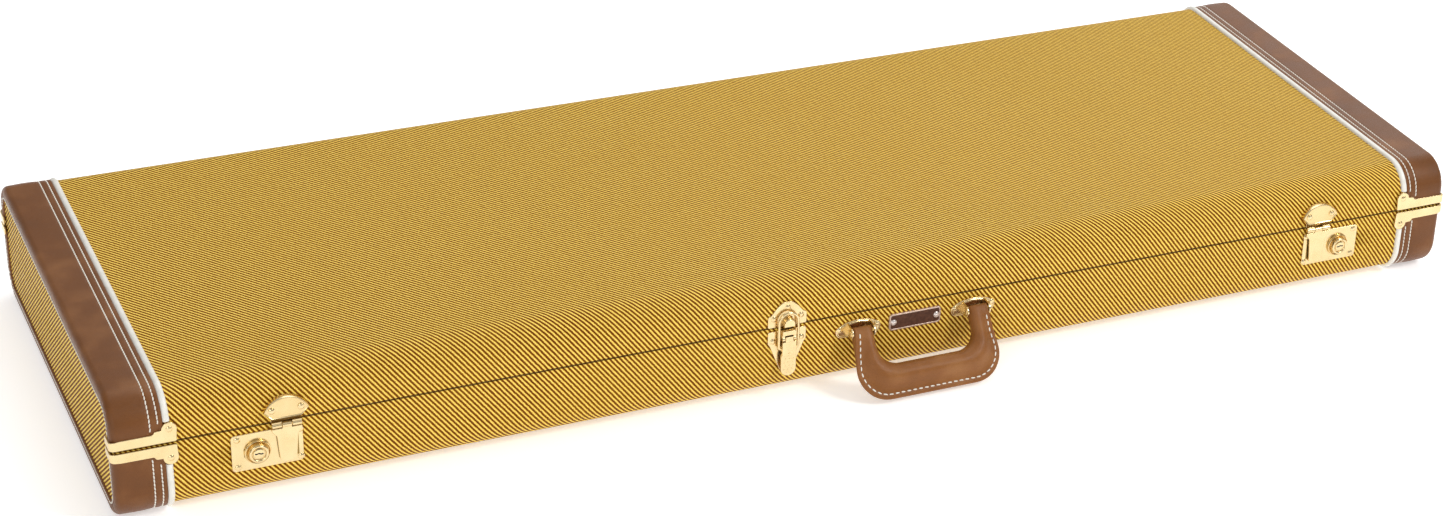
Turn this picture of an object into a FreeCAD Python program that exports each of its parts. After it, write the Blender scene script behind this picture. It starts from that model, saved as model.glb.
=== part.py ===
import FreeCAD, Part
# A flat hardshell guitar case, lying on its bottom with the lid shut.
# +X runs along the case from the neck end to the body end, +Y from the handle side to the hinge side
# and +Z up. The origin is on the floor, under the middle of the whole object's footprint.
# Lengths are in millimetres and every driving one is a cell of the sheet.
import math
import os
import re

import Sketcher
from FreeCAD import Placement, Rotation, Vector

SIZES = {
    # shell
    "case_length": (1051, "tweed-covered shell, end face to end face"),
    "case_width": (355, "tweed-covered shell, handle side to hinge side"),
    "case_height": (91, "tweed-covered shell, bottom to top"),
    "middle_y": (18.7, "centreline of the shell, set so that the whole footprint is centred on the origin"),
    "foot": (2.5, "height of the tweed bottom over the floor: the piping stands that proud"),
    "edge_radius": (22, "rounding of the four long edges"),
    "split": (59.5, "height of the parting line"),
    "split_gap": (0.4, "gap between base and lid at the parting line"),
    "tweed": (0.8, "thickness of the cloth covering"),
    "ply": (6.5, "thickness of the side and end walls"),
    "panel": (5, "thickness of the bottom and top panels"),
    # leather ends and piping
    "band": (40, "width of a leather end with its piping, from the end of the case"),
    "piping_width": (4.8, "piping along the edge of the leather"),
    "leather": (1.5, "leather over the cloth"),
    "lip": (8.8, "leather turned over onto the end face"),
    "leather_stop": (3.5, "leather ends this far from the parting line"),
    "lobe_stop": (16.2, "piping ends this far from the parting line, at the corner clamps"),
    # hardware
    "sheet_metal": (1.2, "thickness of the pressed plates"),
    "clamp_metal": (1, "thickness of the corner clamps"),
    "rivet_head": (1.9, "radius of a rivet's domed head"),
    "rivet_shank": (1.1, "radius of a rivet's shank"),
    "fit_gap": (0.05, "radial clearance of a running pin"),
    "clamp_rivet_x": (488.2, "rivet of a corner clamp, from the middle of the case"),
    "clamp_rivet_rise": (11.2, "rivet of a corner clamp, from the parting line"),
    # locks, the left one measured from the middle of the case
    "lock_inner": (398.9, "inner edge of the lock plate"),
    "lock_outer": (448.1, "outer edge of the lock plate"),
    "lock_low": (26.5, "bottom of the lock plate"),
    "lock_high": (54.8, "top of the lock plate"),
    "knob_x": (430.5, "middle of the lock's sliding knob"),
    "knob_z": (40.2, "height of the knob"),
    "knob_radius": (7.25, "radius of the knob"),
    "knob_flange": (9.25, "radius of the knob's dished flange"),
    "knob_travel": (6, "outward slide that frees the hasp"),
    "plug_radius": (4, "radius of the key plug"),
    "plug_tail": (1.5, "radius of the key plug's tail"),
    "stem_radius": (3.3, "radius of the knob's stem"),
    "slide_gap": (0.15, "gap between the lock plate and the knob's flange"),
    "bolt_back": (1.8, "back of the sliding bolt behind the cloth's face"),
    "hasp_x": (409.9, "middle of the hasp"),
    "hasp_z": (57.9, "height of the hasp's hinge pin"),
    "hasp_out": (2.45, "hasp's hinge pin in front of the cloth"),
    "hasp_pin": (0.8, "radius of the hasp's hinge pin"),
    "hasp_knuckle": (2, "radius of the hasp's knuckles"),
    "hasp_half": (10.4, "half the length of the hasp's hinge"),
    "hasp_middle": (3.4, "half the length of the hasp's own knuckle"),
    "crown_out": (4.2, "face of the crown plate in front of the cloth"),
    # draw latch
    "latch_x": (-42.3, "middle of the draw latch"),
    "lever_z": (51.5, "height of the lever's pin"),
    "lever_out": (4.6, "lever's pin in front of the cloth"),
    "lever_pin": (0.9, "radius of the lever's pin"),
    "lever_knuckle": (1.9, "radius of the knuckles round the lever's pin"),
    "lever_half": (5.5, "half the width of the lever"),
    "lever_front": (6.4, "lever's front face in front of the cloth"),
    "latch_rivet": (11.2, "shield's rivets from the middle of the latch"),
    "bail_z": (43, "height of the bail's lower ends"),
    "bail_out": (3.9, "bail in front of the cloth"),
    "bail_wire": (1, "radius of the bail's wire"),
    "bail_half": (7.5, "half the width of the bail, to the middle of its wire"),
    "bail_arch_z": (64.2, "height of the centre of the bail's arch"),
    "bail_tip": (4.6, "ends of the bail from the middle of the latch"),
    # handle
    "handle_x": (61.6, "middle of the handle"),
    "bracket_half": (47, "bracket from the middle of the handle"),
    "pivot_out": (8, "handle pins in front of the cloth"),
    "pivot_z": (47.5, "height of the handle pins"),
    "handle_pin": (2, "radius of a handle pin"),
    "bracket_metal": (1.5, "thickness of the brackets and of the name plate"),
    "ear_radius": (4.2, "radius of a bracket's ears"),
    "ear_start": (8.4, "inner face of an ear from the middle of its bracket"),
    "pin_half": (10.4, "half the length of a handle pin"),
    "arm_half": (8, "half the width of the handle's arms"),
    "grip_outer": (23, "rounding of the grip's outer corners"),
    "grip_inner": (15, "rounding of the grip's inner corners"),
    "handle_reach": (53.4, "pins to the outer edge of the grip"),
    "handle_half": (58.1, "half the outer width of the grip"),
    "handle_droop": (54.5, "angle of the handle below the horizontal"),
    "grip_depth": (26, "grip from its inner to its outer edge"),
    "arm_thick": (12, "thickness of the handle's arms"),
    "grip_radius": (8.5, "radius of the padded roll of the grip"),
    "badge_x": (60.8, "middle of the name plate"),
    # hinges
    "hinge_step": (330, "spacing of the three hinges"),
    "hinge_half": (20, "half the length of a hinge"),
    "hinge_joint": (7, "inner end of the lower knuckles from the middle of a hinge"),
    "hinge_upper": (6.7, "half the length of the upper knuckle"),
    "hinge_rivet_x": (13, "rivets from the middle of a hinge"),
    "hinge_rivet_rise": (12, "rivets of a hinge from the parting line"),
    "hinge_out": (3.5, "hinge pin behind the cloth"),
    "knuckle": (3, "radius of the hinge knuckles"),
    "hinge_pin": (1.2, "radius of the hinge pins"),
    "leaf": (20, "hinge leaf's far edge from the parting line"),
    "leaf_start": (3.4, "hinge leaf's near edge from the parting line"),
    # lining
    "floor_pad": (5, "thickness of the floor padding"),
    "side_pad": (7.5, "thickness of the side padding"),
    "lid_pad": (12, "thickness of the lid padding"),
    "pad_gap": (0.3, "gap round the loose edges of the padding"),
    "neck_left": (-330, "left end of the neck block and the accessory box"),
    "neck_right": (-60, "right end of the neck block and the accessory box"),
    "channel_half": (40, "half the width of the channel for the neck"),
    "block_top": (50, "height of the neck block and of the box's walls"),
    "box_wall": (5, "thickness of the accessory box's walls"),
    "box_lid": (4, "thickness of the accessory box's lid"),
    "neck_rest_top": (31, "height of the neck rest"),
    "moulding_room": (3.6, "room left beside the edge mouldings' inner slope"),
}

doc = FreeCAD.newDocument("guitar_case")
sheet = doc.addObject("Spreadsheet::Sheet", "sizes")
for row, (alias, (number, meaning)) in enumerate(SIZES.items(), start=1):
    sheet.set(f"A{row}", alias)
    sheet.set(f"B{row}", str(number))
    sheet.set(f"C{row}", meaning)
    sheet.setAlias(f"B{row}", alias)
doc.recompute()

# Planes of the shell, as formulas of the sheet's sizes.
FRONT = "(middle_y - case_width / 2)"
REAR = "(middle_y + case_width / 2)"
TOP = "(foot + case_height)"
BASE_EDGE = "(split - split_gap / 2)"
LID_EDGE = "(split + split_gap / 2)"
INNER_HALF = "(case_length / 2 - tweed - ply)"
WALL_IN = "(tweed + ply)"

nodes = {}


# ---- drawing with formulas ----

def formula(text):
    """The formula with each size name pointed at its cell of the sheet."""
    return re.sub(r"[a-z]\w*", lambda word: f"sizes.{word[0]}" if word[0] in SIZES else word[0], str(text))


def value(text):
    """What the formula comes to now."""
    return float(sheet.evalExpression(formula(text)))


def bind(item, links):
    """Binds each property to its formula."""
    for path, text in links.items():
        item.setExpression(path, formula(text))
    return item


def place(item, spot, turn=None):
    """Puts the item at three formulas, with a turn about its own origin."""
    item.Placement = Placement(Vector(), turn or Rotation())
    return bind(item, {f"Placement.Base.{axis}": text for axis, text in zip("xyz", spot)})


def block(x, y, z):
    """A box between two formulas on each axis."""
    box = place(doc.addObject("Part::Box", "Block"), (x[0], y[0], z[0]))
    sides = {"Length": x, "Width": y, "Height": z}
    return bind(box, {side: f"({high}) - ({low})" for side, (low, high) in sides.items()})


ALONG = {
    "x": Rotation(Vector(0, 0, 1), Vector(1, 0, 0)),
    "y": Rotation(Vector(0, 0, 1), Vector(0, 1, 0)),
    "-y": Rotation(Vector(0, 0, 1), Vector(0, -1, 0)),
    "z": Rotation(),
}


def rod(axis, radius, spot, length):
    """A cylinder that starts at a spot and runs along an axis."""
    cylinder = place(doc.addObject("Part::Cylinder", "Rod"), spot, ALONG[axis])
    return bind(cylinder, {"Radius": radius, "Height": length})


def fuse(*items):
    """One solid from pieces that touch."""
    joined = doc.addObject("Part::MultiFuse", "Fuse")
    joined.Shapes = list(items)
    return joined


def cut(item, *tools):
    """The item less each tool."""
    for tool in tools:
        less = doc.addObject("Part::Cut", "Cut")
        less.Base = item
        less.Tool = tool
        item = less
    return item


def group(*items):
    """Separate solids kept as one sub-part."""
    together = doc.addObject("Part::Compound", "Group")
    together.Links = list(items)
    return together


def mirrored(item, normal, spot=("0", "0", "0")):
    """The item's mirror image in the plane through a spot."""
    image = doc.addObject("Part::Mirroring", "Image")
    image.Source = item
    image.Normal = normal
    return bind(image, {f"Base.{axis}": text for axis, text in zip("xyz", spot)})


def across_case(item):
    """The item's twin at the other end of the case."""
    return mirrored(item, Vector(1, 0, 0))


def front_to_rear(item):
    """The item's twin on the opposite long side."""
    return mirrored(item, Vector(0, 1, 0), ("0", "middle_y", "0"))


def segment(start, end, radius):
    """A line, or an arc that bulges out of an anticlockwise outline; a negative radius bulges inwards."""
    if radius is None:
        return Part.LineSegment(start, end), (1, 2)
    run = end - start
    left = Vector(-run.y, run.x, 0).normalize()
    rise = math.sqrt(max(radius ** 2 - (run.Length / 2) ** 2, 0))
    centre = (start + end) / 2 + left * math.copysign(rise, radius)
    first, last = (start, end) if radius > 0 else (end, start)
    angles = [math.atan2((point - centre).y, (point - centre).x) for point in (first, last)]
    circle = Part.Circle(centre, Vector(0, 0, 1), abs(radius))
    return Part.ArcOfCircle(circle, *angles), (1, 2) if radius > 0 else (2, 1)


def draw(sketch, corners):
    """A closed outline. Each corner is (across, up), or (across, up, radius) when an arc leaves it."""
    points = [Vector(value(corner[0]), value(corner[1]), 0) for corner in corners]
    ends = []
    for number, corner in enumerate(corners):
        radius = value(corner[2]) if len(corner) == 3 else None
        curve, order = segment(points[number], points[(number + 1) % len(points)], radius)
        ends.append((sketch.addGeometry(curve), order))
    for number, corner in enumerate(corners):
        curve, (start, end) = ends[number]
        after, (after_start, _) = ends[(number + 1) % len(ends)]
        sketch.addConstraint(Sketcher.Constraint("Coincident", curve, end, after, after_start))
        for way, text, number_now in zip("XY", corner, points[number]):
            size = Sketcher.Constraint(f"Distance{way}", -1, 1, curve, start, number_now)
            bind(sketch, {f"Constraints[{sketch.addConstraint(size)}]": text})
        if len(corner) == 3:
            size = Sketcher.Constraint("Radius", curve, abs(value(corner[2])))
            bind(sketch, {f"Constraints[{sketch.addConstraint(size)}]": f"abs({corner[2]})"})


def profile(plane, corners, spot, depth):
    """A body padded from an outline: XZ_Plane pads towards -Y, YZ_Plane towards +X, XY_Plane up."""
    body = place(doc.addObject("PartDesign::Body", "Profile"), spot)
    sketch = body.newObject("Sketcher::SketchObject", "Outline")
    face = next(item for item in body.Origin.OriginFeatures if item.Role == plane)
    sketch.AttachmentSupport = (face, [""])
    sketch.MapMode = "FlatFace"
    draw(sketch, corners)
    pad = body.newObject("PartDesign::Pad", "Pad")
    pad.Profile = sketch
    bind(pad, {"Length": depth})
    return body


def front_plate(corners, x, out, thick):
    """A pressed plate on the handle side whose back is `out` in front of the cloth."""
    return profile("XZ_Plane", corners, (x, f"{FRONT} - ({out})", "0"), thick)


def node(label, item):
    """Names a finished sub-part."""
    item.Label = label
    nodes[label] = item
    return item


def ahead(distance):
    """The y of a point in front of the cloth on the handle side."""
    return f"{FRONT} - ({distance})"


def behind(distance):
    """The y of a point behind the cloth on the hinge side."""
    return f"{REAR} + ({distance})"


def rivet(x, z, out, side="front"):
    """A domed rivet whose shank runs from a plate's face, `out` off the cloth, into the wall."""
    direction = "-y" if side == "front" else "y"
    face = ahead if side == "front" else behind
    dome = "(rivet_head / cos(30))"
    head = place(doc.addObject("Part::Sphere", "Head"), (x, face(f"{out} - {dome} / 2"), z), ALONG[direction])
    head.Angle1 = 30
    bind(head, {"Radius": dome})
    depth = "(tweed + ply - 0.5)"
    shank = rod(direction, "rivet_shank", (x, face(f"0 - {depth}"), z), f"{out} + {depth}")
    return fuse(head, shank)


# ---- the shell ----

def section(part, inset, edge):
    """The base's or the lid's section, drawn in by an inset, with its open edge at a height."""
    side = f"(case_width / 2 - ({inset}))"
    flat = "(case_width / 2 - edge_radius)"
    bend = f"edge_radius - ({inset})"
    if part == "base":
        low = f"foot + ({inset})"
        start = "foot + edge_radius"
        return [(f"-{side}", edge), (f"-{side}", start, bend), (f"-{flat}", low),
                (flat, low, bend), (side, start), (side, edge)]
    high = f"{TOP} - ({inset})"
    start = f"{TOP} - edge_radius"
    return [(f"-{side}", start), (f"-{side}", edge), (side, edge),
            (side, start, bend), (flat, high), (f"-{flat}", high, bend)]


def shell_solid(part, inset, edge, low_x, high_x):
    """The full section of the base or the lid between two stations."""
    spot = (low_x, "middle_y", "0")
    return profile("YZ_Plane", section(part, inset, edge), spot, f"({high_x}) - ({low_x})")


def lock_pocket():
    """The space let into the front wall behind the left lock."""
    x = ("-(lock_outer - 1.2)", "-(hasp_x - 4)")
    return block(x, (ahead(1), ahead(-5.5)), ("knob_z - 7.2", "knob_z + 7.6"))


def moulding(part):
    """The rounded edge moulding of the handle side, chamfered inside."""
    side = f"(case_width / 2 - {WALL_IN})"
    outer = "(case_width / 2 - tweed)"
    flat = "(case_width / 2 - edge_radius)"
    bend = "edge_radius - tweed"
    if part == "base":
        low, panel_in, start = "foot + tweed", "foot + tweed + panel", "foot + edge_radius"
        corners = [(f"-{outer}", start, bend), (f"-{flat}", low), (f"-{flat}", panel_in), (f"-{side}", start)]
    else:
        high, panel_in, start = f"{TOP} - tweed", f"{TOP} - tweed - panel", f"{TOP} - edge_radius"
        corners = [(f"-{side}", start), (f"-{flat}", panel_in), (f"-{flat}", high, bend), (f"-{outer}", start)]
    return profile("YZ_Plane", corners, (f"-{INNER_HALF}", "middle_y", "0"), f"2 * {INNER_HALF}")


def wooden_shell(part):
    """Panel, mouldings, side walls and end walls of the base or the lid."""
    x = (f"-{INNER_HALF}", INNER_HALF)
    flat = ("middle_y - (case_width / 2 - edge_radius)", "middle_y + (case_width / 2 - edge_radius)")
    if part == "base":
        edge, wall_z = BASE_EDGE, ("foot + edge_radius", BASE_EDGE)
        panel_z = ("foot + tweed", "foot + tweed + panel")
    else:
        edge, wall_z = LID_EDGE, (LID_EDGE, f"{TOP} - edge_radius")
        panel_z = (f"{TOP} - tweed - panel", f"{TOP} - tweed")
    node("base_bottom_panel" if part == "base" else "lid_top_panel", block(x, flat, panel_z))
    front_moulding = moulding(part)
    node(f"{part}_edge_mouldings", group(front_moulding, front_to_rear(front_moulding)))
    front_wall = block(x, (ahead("-tweed"), ahead(f"-{WALL_IN}")), wall_z)
    if part == "base":
        left_pocket = lock_pocket()
        front_wall = cut(front_wall, left_pocket, across_case(left_pocket))
    node(f"{part}_front_wall", front_wall)
    node(f"{part}_rear_wall", block(x, (behind(f"-{WALL_IN}"), behind("-tweed")), wall_z))
    left_end = shell_solid(part, "tweed", edge, "-(case_length / 2 - tweed)", f"-{INNER_HALF}")
    node(f"{part}_left_end_wall", left_end)
    node(f"{part}_right_end_wall", across_case(left_end))


def tweed_cover(part):
    """The cloth glued over the outside of the base or the lid."""
    edge = BASE_EDGE if part == "base" else LID_EDGE
    outer = shell_solid(part, "0", edge, "-case_length / 2", "case_length / 2")
    inner = shell_solid(part, "tweed", edge, "-(case_length / 2 - tweed)", "case_length / 2 - tweed")
    cover = cut(outer, inner)
    if part == "base":
        left_pocket = lock_pocket()
        cover = cut(cover, left_pocket, across_case(left_pocket))
    node(f"{part}_tweed_cover", cover)


def leather_cap(part):
    """The leather end, wrapped over the long faces and turned onto the end face by the lip."""
    sign = "-" if part == "base" else "+"
    edge = f"(split {sign} leather_stop)"
    beyond = f"(split {'+' if part == 'base' else '-'} leather_stop)"
    start = "(case_length / 2 + leather - band + piping_width)"
    outer = shell_solid(part, "-leather", edge, start, "case_length / 2 + leather")
    inner = shell_solid(part, "0", beyond, f"{start} - 1", "case_length / 2")
    window = shell_solid(part, "lip", beyond, "case_length / 2 - 1", "case_length / 2 + leather + 1")
    right = cut(outer, inner, window)
    node(f"{part}_leather_cap_right", right)
    node(f"{part}_leather_cap_left", across_case(right))


def piping(part):
    """The piping round the leather's edge: a flat run, two bends and two uprights."""
    start = "(case_length / 2 + leather - band)"
    x = (start, f"{start} + piping_width")
    flat = "(case_width / 2 - edge_radius)"
    flat_y = (f"middle_y - {flat}", f"middle_y + {flat}")
    outer, side = "(case_width / 2 + foot)", "(case_width / 2)"
    if part == "base":
        run_z, upright_z = ("0", "foot"), ("foot + edge_radius", "split - lobe_stop")
        bend = [(f"-{outer}", "foot + edge_radius", "edge_radius + foot"), (f"-{flat}", "0"),
                (f"-{flat}", "foot", "-edge_radius"), (f"-{side}", "foot + edge_radius")]
    else:
        run_z, upright_z = (TOP, f"{TOP} + foot"), ("split + lobe_stop", f"{TOP} - edge_radius")
        bend = [(f"-{side}", f"{TOP} - edge_radius", "-edge_radius"), (f"-{flat}", TOP),
                (f"-{flat}", f"{TOP} + foot", "edge_radius + foot"), (f"-{outer}", f"{TOP} - edge_radius")]
    pieces = [block(x, flat_y, run_z)]
    front_bend = profile("YZ_Plane", bend, (start, "middle_y", "0"), "piping_width")
    clamp_room = (f"{BASE_EDGE} - lobe_stop", f"{LID_EDGE} + lobe_stop")
    front_bend = cut(front_bend, block(x, (ahead("foot + 1"), "middle_y"), clamp_room))
    pieces += [front_bend, front_to_rear(front_bend)]
    if value(upright_z[1]) > value(upright_z[0]):
        pieces += [block(x, (ahead("foot"), FRONT), upright_z), block(x, (REAR, behind("foot")), upright_z)]
    right = group(*pieces)
    node(f"{part}_piping_right", right)
    node(f"{part}_piping_left", across_case(right))


# ---- metalwork ----

def corner_clamps():
    """Folded clamps on the parting edge at the four vertical corners, upper and lower."""
    end = "(case_length / 2 + leather + clamp_metal)"
    front_leg = [
        ("484.5", "split + 1.2"), (end, "split + 1.2"), (end, "split + 8.5"), ("499", "split + 8.5"),
        ("496.5", "split + 11"), ("493.4", "split + 11", "5.2"), ("483", "split + 11"), ("483", "split + 2.7"),
    ]
    plate = front_plate(front_leg, "0", "leather", "clamp_metal")
    end_x = ("case_length / 2 + leather", end)
    end_leg = block(end_x, (ahead("leather + clamp_metal"), ahead("-12")), ("split + 1.2", "split + 7.5"))
    upper = fuse(plate, end_leg)
    lower = mirrored(upper, Vector(0, 0, 1), ("0", "0", "split"))
    for part, clamp in (("lid", upper), ("base", lower)):
        pair = group(clamp, front_to_rear(clamp))
        node(f"{part}_corner_clamps", group(pair, across_case(pair)))


def lock_plate():
    """The lock's face plate, with a slot for the knob's stem and one for the hasp's staple."""
    low_x, high_x, r = "-lock_outer", "-lock_inner", "2.5"
    corners = [
        (f"{low_x} + {r}", "lock_low"), (f"{high_x} - {r}", "lock_low", r), (high_x, f"lock_low + {r}"),
        (high_x, f"lock_high - {r}", r), (f"{high_x} - {r}", "lock_high"), (f"{low_x} + {r}", "lock_high", r),
        (low_x, f"lock_high - {r}"), (low_x, f"lock_low + {r}", r),
    ]
    plate = front_plate(corners, "0", "0", "sheet_metal")
    through = (ahead("sheet_metal + 1"), ahead(-1))
    room = "(stem_radius + 0.2)"
    stem_slot = block((f"-knob_x - knob_travel - {room}", f"-knob_x + {room}"), through,
                      (f"knob_z - {room}", f"knob_z + {room}"))
    staple_slot = block(("-hasp_x - 2", "-hasp_x + 2"), through, ("knob_z - 4.2", "knob_z + 6.8"))
    left = node("left_lock_plate", cut(plate, stem_slot, staple_slot))
    node("right_lock_plate", across_case(left))


def lock_slide():
    """The knob with its flange, the stem through the plate, and the bolt behind the wall's face."""
    back = "sheet_metal + slide_gap"
    spot_x, spot_z = "-knob_x", "knob_z"
    flange = rod("-y", "knob_flange", (spot_x, ahead(back), spot_z), "1.3")
    knob = rod("-y", "knob_radius", (spot_x, ahead(back), spot_z), "4.9")
    stem = rod("-y", "stem_radius", (spot_x, ahead("-bolt_back"), spot_z), f"{back} + bolt_back")
    bolt_x = ("-knob_x - 6", "-hasp_x - 3")
    bolt = block(bolt_x, (ahead("-0.3"), ahead("-bolt_back")), ("knob_z - 5", "knob_z + 5"))
    seat = rod("-y", "plug_radius + fit_gap", (spot_x, ahead(f"{back} + 1"), spot_z), "6")
    bore = rod("-y", "plug_tail + fit_gap", (spot_x, ahead(-4), spot_z), "8")
    left = node("left_lock_slide", cut(fuse(flange, knob, stem, bolt), seat, bore))
    node("right_lock_slide", across_case(left))


def key_plug():
    """The key plug, with its keyway, its tail through the stem and the cam that blocks the bolt."""
    start = "sheet_metal + slide_gap + 1"
    barrel = rod("-y", "plug_radius", ("-knob_x", ahead(start), "knob_z"), "4.1")
    cam_back = "(bolt_back + 1.4)"
    tail = rod("-y", "plug_tail", ("-knob_x", ahead(f"-{cam_back}"), "knob_z"), f"{start} + {cam_back}")
    cam = block(("-knob_x - plug_tail", "-knob_x + plug_tail"), (ahead("-bolt_back - 0.2"), ahead(f"-{cam_back}")),
                ("knob_z - plug_tail", "knob_z + 5.5"))
    keyway = block(("-knob_x - 2.6", "-knob_x + 2.6"), (ahead(f"{start} + 5"), ahead(f"{start} + 2.1")),
                   ("knob_z - 0.5", "knob_z + 0.5"))
    left = node("left_key_plug", cut(fuse(barrel, tail, cam), keyway))
    node("right_key_plug", across_case(left))


def hasp():
    """The hinged flap that hangs over the lock plate, with its staple."""
    corners = [
        ("-3.7", "29"), ("3.7", "29", "2"), ("5.7", "31"), ("7.4", "50"), ("hasp_half", "53.5"),
        ("hasp_half", "hasp_z - 2.3"), ("-hasp_half", "hasp_z - 2.3"), ("-hasp_half", "53.5"), ("-7.4", "50"),
        ("-5.7", "31", "2"),
    ]
    flap = front_plate(corners, "-hasp_x", "hasp_out - 0.1", "sheet_metal")
    knuckle = rod("x", "hasp_knuckle", ("-hasp_x - hasp_middle", ahead("hasp_out"), "hasp_z"), "2 * hasp_middle")
    middle = ("-hasp_x - hasp_middle", "-hasp_x + hasp_middle")
    web = block(middle, (ahead("hasp_out + 1.1"), ahead("hasp_out - 0.1")),
                ("hasp_z - 2.3", "hasp_z - 0.9"))
    staple = block(("-hasp_x - 1", "-hasp_x + 1"), (ahead("hasp_out - 0.1"), ahead(-3)), ("knob_z", "knob_z + 5"))
    bore = rod("x", "hasp_pin + fit_gap", ("-hasp_x - 4", ahead("hasp_out"), "hasp_z"), "8")
    left = node("left_hasp", cut(fuse(flap, knuckle, web, staple), bore))
    node("right_hasp", across_case(left))


def hasp_plate():
    """The crown-shaped plate on the lid that carries the hasp's outer knuckles."""
    crown = front_plate(
        [("-hasp_half", "63.5"), ("hasp_half", "63.5"), ("15.9", "69.5", "17.5"), ("-15.9", "69.5")],
        "-hasp_x", "0", "crown_out")
    strap_x = ("-hasp_x - hasp_half", "-hasp_x + hasp_half")
    strap = block(strap_x, (ahead("sheet_metal"), FRONT), (f"{LID_EDGE} + 0.2", "66"))
    pieces = [crown, strap]
    outer = "(hasp_half - hasp_middle - 0.2)"
    for low_x in ("-hasp_x - hasp_half", f"-hasp_x + hasp_half - {outer}"):
        pieces.append(rod("x", "hasp_knuckle", (low_x, ahead("hasp_out"), "hasp_z"), outer))
        web_x = (low_x, f"{low_x} + {outer}")
        pieces.append(block(web_x, (ahead("3"), ahead("1")), ("hasp_z + 0.6", "hasp_z + 3.6")))
    bore = rod("x", "hasp_pin", ("-hasp_x - 12", ahead("hasp_out"), "hasp_z"), "24")
    left = node("left_hasp_plate", cut(fuse(*pieces), bore))
    node("right_hasp_plate", across_case(left))
    pin = rod("x", "hasp_pin", ("-hasp_x - hasp_half", ahead("hasp_out"), "hasp_z"), "2 * hasp_half")
    node("hasp_pins", group(pin, across_case(pin)))


def draw_latch_plates():
    """The hook plate on the lid and the lever's plate on the base."""
    crown = front_plate([
        ("-15.2", "59.9"), ("15.2", "59.9"), ("15.2", "68", "2.2"), ("13.2", "70.4"), ("6.5", "76.5", "7.2"),
        ("-6.5", "76.5"), ("-13.2", "70.4", "2.2"), ("-15.2", "68"),
    ], "latch_x", "0", "sheet_metal")
    hook = front_plate(
        [("-5.8", "59.9"), ("5.8", "59.9"), ("5.8", "63.4", "5.9"), ("-5.8", "63.4")],
        "latch_x", "0", "lever_front")
    node("draw_latch_hook_plate", fuse(crown, hook))

    shield = front_plate([
        ("-4.5", "23.6", "5"), ("4.5", "23.6"), ("10.5", "38"), ("15", "46"), ("15", "56.8"),
        ("-15", "56.8"), ("-15", "46"), ("-10.5", "38"),
    ], "latch_x", "0", "sheet_metal")
    bridge_x = ("latch_x - lever_half", "latch_x + lever_half")
    bridge = block(bridge_x, (ahead("lever_front"), ahead("0.5")), ("lever_z + 3", "58.2"))
    pieces = [shield, bridge]
    for low_x in ("latch_x - lever_half", "latch_x + lever_half - 2.3"):
        ear_x = (low_x, f"{low_x} + 2.3")
        pieces.append(block(ear_x, (ahead("lever_out + 0.4"), ahead("0.5")), ("lever_z - 1", "lever_z + 3.5")))
        pieces.append(rod("x", "lever_knuckle", (low_x, ahead("lever_out"), "lever_z"), "2.3"))
    bore = rod("x", "lever_pin", ("latch_x - 7", ahead("lever_out"), "lever_z"), "14")
    node("draw_latch_base_plate", cut(fuse(*pieces), bore))
    pin = rod("x", "lever_pin", ("latch_x - lever_half", ahead("lever_out"), "lever_z"), "2 * lever_half")
    node("draw_latch_pin", pin)


def draw_lever():
    """The latch's lever: knuckle, front plate, two cheeks for the bail, and the thumb tab."""
    def centred(half):
        return (f"latch_x - {half}", f"latch_x + {half}")

    back = ahead("lever_front - sheet_metal")
    knuckle = rod("x", "lever_knuckle", ("latch_x - 3", ahead("lever_out"), "lever_z"), "6")
    web = block(centred(3), (ahead("lever_front"), ahead("lever_out")), ("lever_z - 2.5", "lever_z - 0.5"))
    plate = block(centred("lever_half"), (ahead("lever_front"), back), ("37.6", "lever_z - 2.2"))
    tab = front_plate(
        [("-6", "26.5", "6.2"), ("6", "26.5"), ("6", "37"), ("lever_half", "39.2"), ("-lever_half", "39.2"),
         ("-6", "37")],
        "latch_x", "4", "sheet_metal + 0.3")
    pieces = [knuckle, web, plate, tab]
    for low_x in ("latch_x - lever_half", "latch_x + lever_half - 1"):
        pieces.append(block((low_x, f"{low_x} + 1"), (ahead("5.3"), ahead("2.4")), ("bail_z - 2", "bail_z + 2")))
    pin_bore = rod("x", "lever_pin + fit_gap", ("latch_x - 4", ahead("lever_out"), "lever_z"), "8")
    bail_bore = rod("x", "bail_wire + fit_gap", ("latch_x - 6", ahead("bail_out"), "bail_z"), "12")
    node("draw_latch_lever", cut(fuse(*pieces), pin_bore, bail_bore))


def bail():
    """The wire loop: two ends in the lever, two uprights and an arch over the hook."""
    y = ahead("bail_out")
    arch = place(doc.addObject("Part::Torus", "Arch"), ("latch_x", y, "bail_arch_z"),
                 Rotation(Vector(1, 0, 0), 90))
    arch.Angle3 = 180
    pieces = [bind(arch, {"Radius1": "bail_half", "Radius2": "bail_wire"})]
    for side, inner in (("-", "-bail_half"), ("+", "bail_tip")):
        x = f"latch_x {side} bail_half"
        pieces.append(rod("z", "bail_wire", (x, y, "bail_z"), "bail_arch_z - bail_z"))
        pieces.append(rod("x", "bail_wire", (f"latch_x + {inner}", y, "bail_z"), "bail_half - bail_tip"))
        elbow = place(doc.addObject("Part::Sphere", "Elbow"), (x, y, "bail_z"))
        pieces.append(bind(elbow, {"Radius": "bail_wire"}))
    node("draw_latch_bail", fuse(*pieces))


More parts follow.
